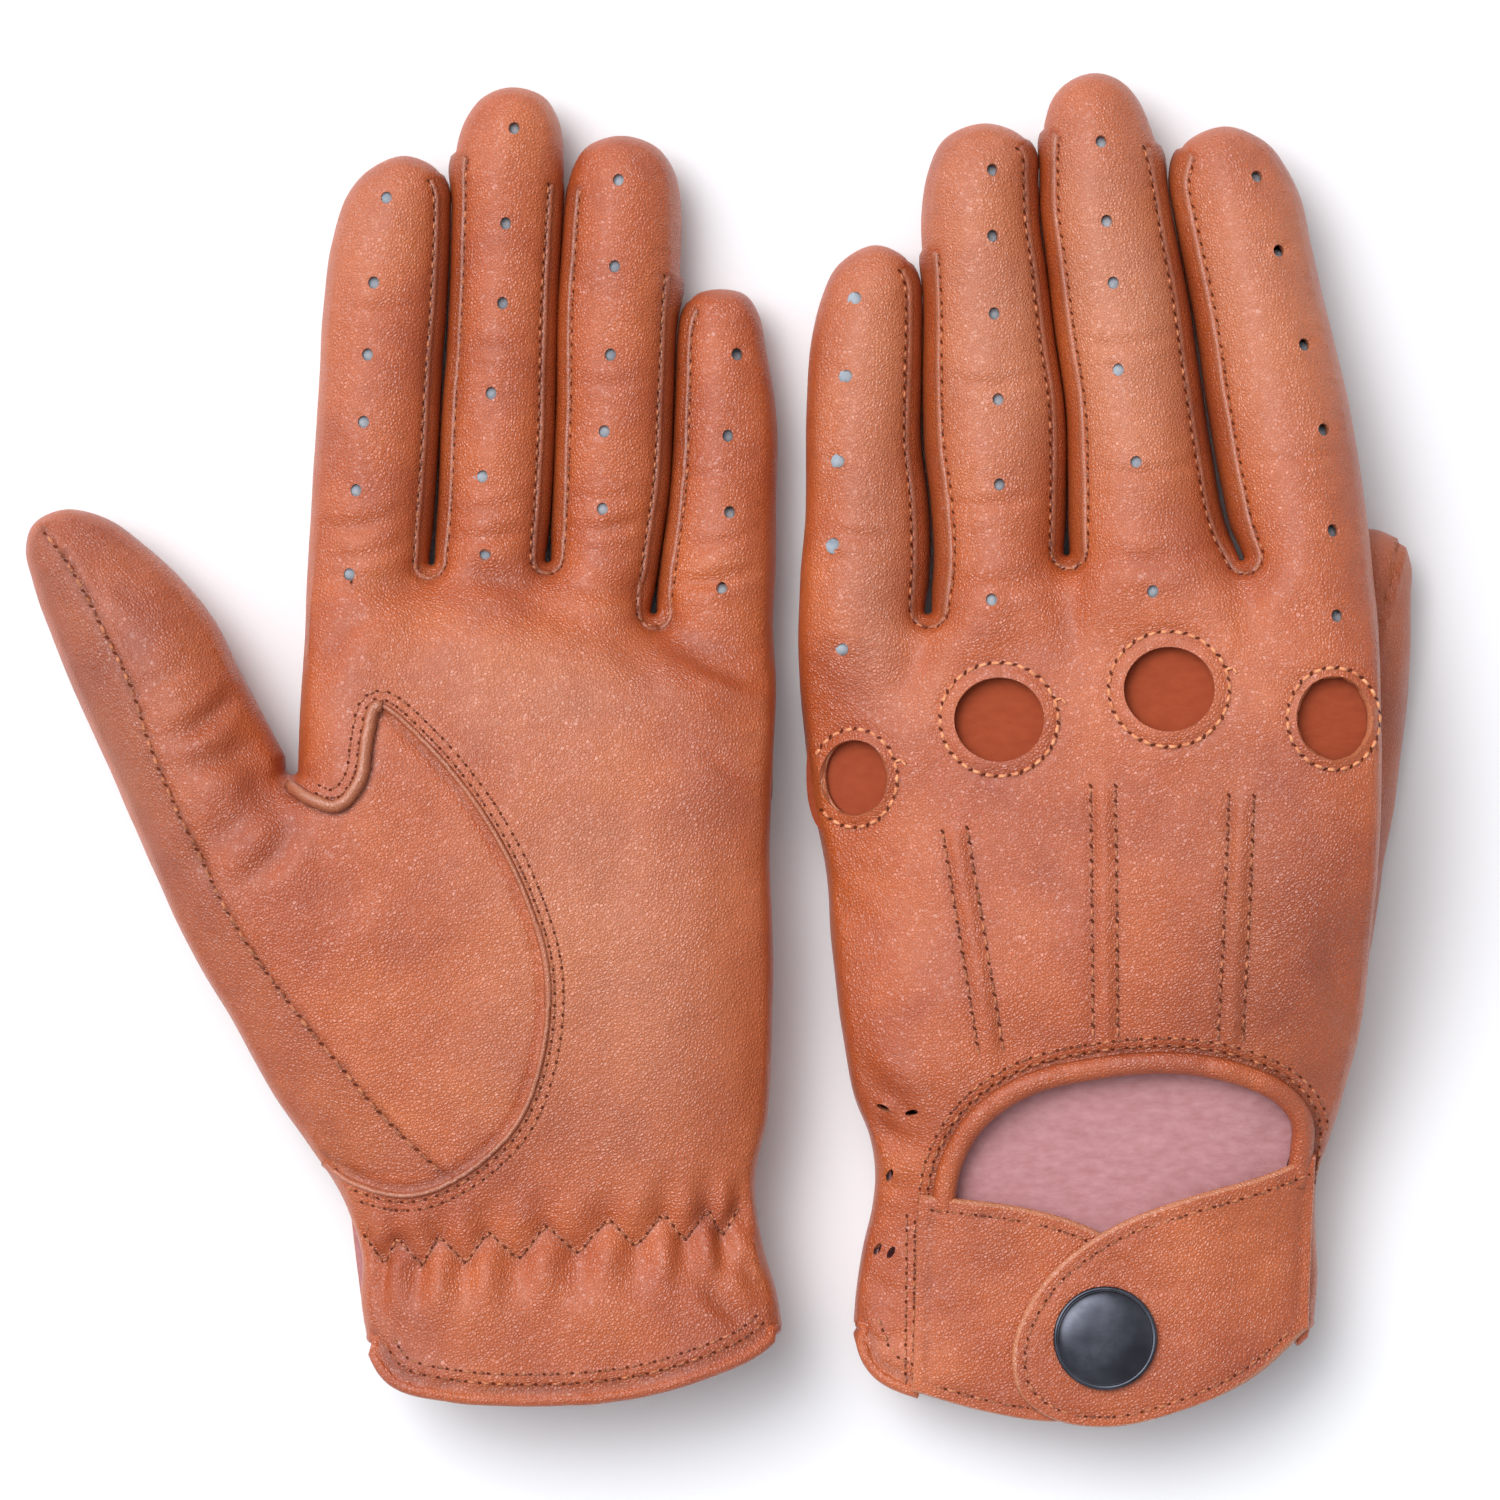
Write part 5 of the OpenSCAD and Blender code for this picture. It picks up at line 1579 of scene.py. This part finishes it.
def lower_thumb(glove, sewing):
    """The thumb of the glove that lies back up: a soft tube that shows past the hand's edge."""
    path = curve(THUMB_TUBE, 1.2)
    end = path[-1]
    ahead = unit((path[-1] - path[-3])[:3])
    rings = [(p[:3], p[3], min(p[3], p[2] - 0.15, 7.6)) for p in path]
    for a in np.linspace(0.12, 1.0, 12) * math.pi / 2:
        rings.append((end[:3] + ahead * (8.1 * math.sin(a)), end[3] * math.cos(a), 7.35 * math.cos(a)))
    heading = np.gradient(np.array([ring[0] for ring in rings]), axis=0)
    heading[:, 2] = 0
    heading /= np.linalg.norm(heading, axis=1)[:, None]
    seam = Near(curve(THUMB_TUBE_SEAM, 0.5))
    around, verts = turns(56), []
    for (c, wide, tall), t in zip(rings, heading):
        for a in around:
            out = np.array([t[1], -t[0], 0]) * (wide * math.cos(a)) + np.array([0, 0, tall * math.sin(a)])
            v = c + out
            bump = 0.35 * noise.noise(Vector((v[0] * 0.16, v[1] * 0.09, v[2] * 0.2)))
            if a < math.pi:
                d = seam([v[:2]])[0]
                bump += 0.45 * hump(d - 1.0, 0.6) - 0.55 * hump(d, 0.5)
            verts.append(v + out / (np.linalg.norm(out) + 1e-6) * bump * min(1.0, tall / 4))
    verts = np.array(verts)
    verts[:, 2] = np.maximum(verts[:, 2], 0.15)
    count = len(around)
    spans = {"thumb_back": range(count // 2), "thumb_front": range(count // 2, count)}
    halves = {name: bands(len(rings), count, span=span) for name, span in spans.items()}
    for name, faces in halves.items():
        pile = Pile()
        # painted shade: the whole tube is a little darker
        pile.add(verts, faces, -0.12)
        pile.make(glove, name + "_skin", "tan_leather", part="thumb", nodes=[name], slot="tan_leather")
    tree = BVHTree.FromPolygons([Vector(v) for v in verts], halves["thumb_front"] + halves["thumb_back"])
    points, normals = [], []
    for x, y in evenly(curve(THUMB_TUBE_SEAM, 0.5), 2.2):
        hit = tree.ray_cast(Vector((x, y, 60)), Vector((0, 0, -1)))
        if hit[0] is not None:
            n = np.array(hit[1])
            points.append(np.array(hit[0]) + 0.1 * n)
            normals.append(n if n[2] > 0 else -n)
    sewing.sew(np.array(points), np.array(normals), part="thumb", length=1.3, radius=0.22)


def snap_dome(glove):
    """The cap of the snap: a shallow dome with a rolled rim, turned to the size of the frame's cap."""
    low, high = (np.array(c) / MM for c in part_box(f"{glove.name}_snap_cap"))
    cx, cy = (low[:2] + high[:2]) / 2
    r, rise = (high[0] - low[0]) / 2, high[2] - low[2]
    up = 1 if glove.back_up else -1
    foot = low[2] if up > 0 else high[2]
    edge, under = 0.42, 0.02
    dome = [[(r - 0.75) * math.sin(x), 0.78 + (rise - 0.78) * math.cos(x) ** 1.1]
            for x in np.linspace(0, math.pi / 2, 22)[1:]]
    rim = [[r - edge + edge * math.cos(x), edge + edge * math.sin(x)] for x in np.linspace(2.2, -1.57, 12)]
    profile = dome + rim + [[r - 1.4, under]]
    around, rows = turns(72), len(profile)
    verts = [[cx + x * math.cos(t), cy + x * math.sin(t), foot + up * z] for x, z in profile for t in around]
    verts += [[cx, cy, foot + up * rise], [cx, cy, foot + up * under]]
    count, top = len(around), len(verts) - 2
    faces = [[a, d, c, b] for a, b, c, d in bands(rows, count)]
    for i in range(count):
        j = (i + 1) % count
        faces += [[top, i, j], [top + 1, (rows - 1) * count + j, (rows - 1) * count + i]]
    pile = Pile()
    pile.add(verts, facing(faces, up > 0))
    pile.make(glove, "snap_cap_dome", "snap_metal", part="strap", nodes=["snap_cap"], slot="snap_metal")
    looks = {"snap_post": "snap_metal", "snap_stud": "snap_metal", "snap_socket": "snap_spring"}
    for part, look in looks.items():
        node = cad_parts[f"{glove.name}_{part}"]
        if not node.material_slots:
            node.data.materials.append(LEATHER[look])
        for slot in node.material_slots:
            slot.material = LEATHER[look]


# ---------------------------------------------------------------- the scene
def make_floor():
    mesh = bpy.data.meshes.new("floor")
    mesh.from_pydata([(-3, -3, 0), (3, -3, 0), (3, 3, 0), (-3, 3, 0)], [], [(0, 1, 2, 3)])
    pale = Shader("floor_finish", 0.85, specular=0.1)
    tones = [(0.3, (0.86, 0.865, 0.87, 1)), (0.7, (0.9, 0.905, 0.91, 1))]
    pale.join(pale.ramp(pale.noise(3, 2), tones), pale.bsdf.inputs["Base Color"])
    mesh.materials.append(pale.material)
    floor = bpy.data.objects.new("floor", mesh)
    bpy.context.scene.collection.objects.link(floor)


def make_lights():
    """One soft sheet of light above and to the left, and a room that is brighter on that side."""
    light = bpy.data.lights.new("key", "AREA")
    light.shape, light.size, light.size_y = "RECTANGLE", 0.5, 0.5
    light.energy, light.color = 3.4, (1, 0.98, 0.985)
    lamp = bpy.data.objects.new("key", light)
    lamp.location = (-0.42, 0.38, 1.0)
    lamp.rotation_euler = (-Vector(lamp.location)).to_track_quat("-Z", "Y").to_euler()
    bpy.context.scene.collection.objects.link(lamp)
    world = bpy.data.worlds.new("room")
    world.use_nodes = True
    nodes, links = world.node_tree.nodes, world.node_tree.links
    place = nodes.new("ShaderNodeTexCoord")
    dot = nodes.new("ShaderNodeVectorMath")
    dot.operation = "DOT_PRODUCT"
    dot.inputs[1].default_value = Vector((-0.42, 0.36, 0.84)).normalized()
    fade = nodes.new("ShaderNodeMapRange")
    fade.interpolation_type = "SMOOTHSTEP"
    for name, value in (("From Min", 0.8), ("From Max", 0.985), ("To Min", 0.46), ("To Max", 4.4)):
        fade.inputs[name].default_value = value
    links.new(place.outputs["Generated"], dot.inputs[0])
    links.new(dot.outputs["Value"], fade.inputs["Value"])
    background = nodes["Background"]
    background.inputs["Color"].default_value = (0.95, 0.965, 1, 1)
    links.new(fade.outputs["Result"], background.inputs["Strength"])
    bpy.context.scene.world = world


def make_camera():
    """A long lens straight above that takes in VIEW_WIDTH at the gloves' middle height."""
    lens = bpy.data.cameras.new("camera")
    lens.lens, lens.sensor_width = 150, 36
    camera = bpy.data.objects.new("camera", lens)
    x, y, z = VIEW_CENTRE
    camera.location = (x * MM, y * MM, (z + VIEW_WIDTH * lens.lens / lens.sensor_width) * MM)
    bpy.context.scene.collection.objects.link(camera)
    bpy.context.scene.camera = camera
    bpy.context.scene.view_settings.view_transform = "Standard"


make_floor()
make_lights()
make_camera()
for number in (0, 1):
    glove = Glove(number)
    glove.build()
    skin_pieces(glove)
    sewing = Sewing(glove)
    finger_seams(glove, sewing)
    edge_pieces(glove)
    straps(glove, sewing)
    linings(glove)
    vent_backs(glove)
    knuckle_facings(glove)
    wrist_elastic(glove)
    needle_rows(glove, sewing)
    if glove.back_up:
        lower_thumb(glove, sewing)
    snap_dome(glove)
    sewing.make()
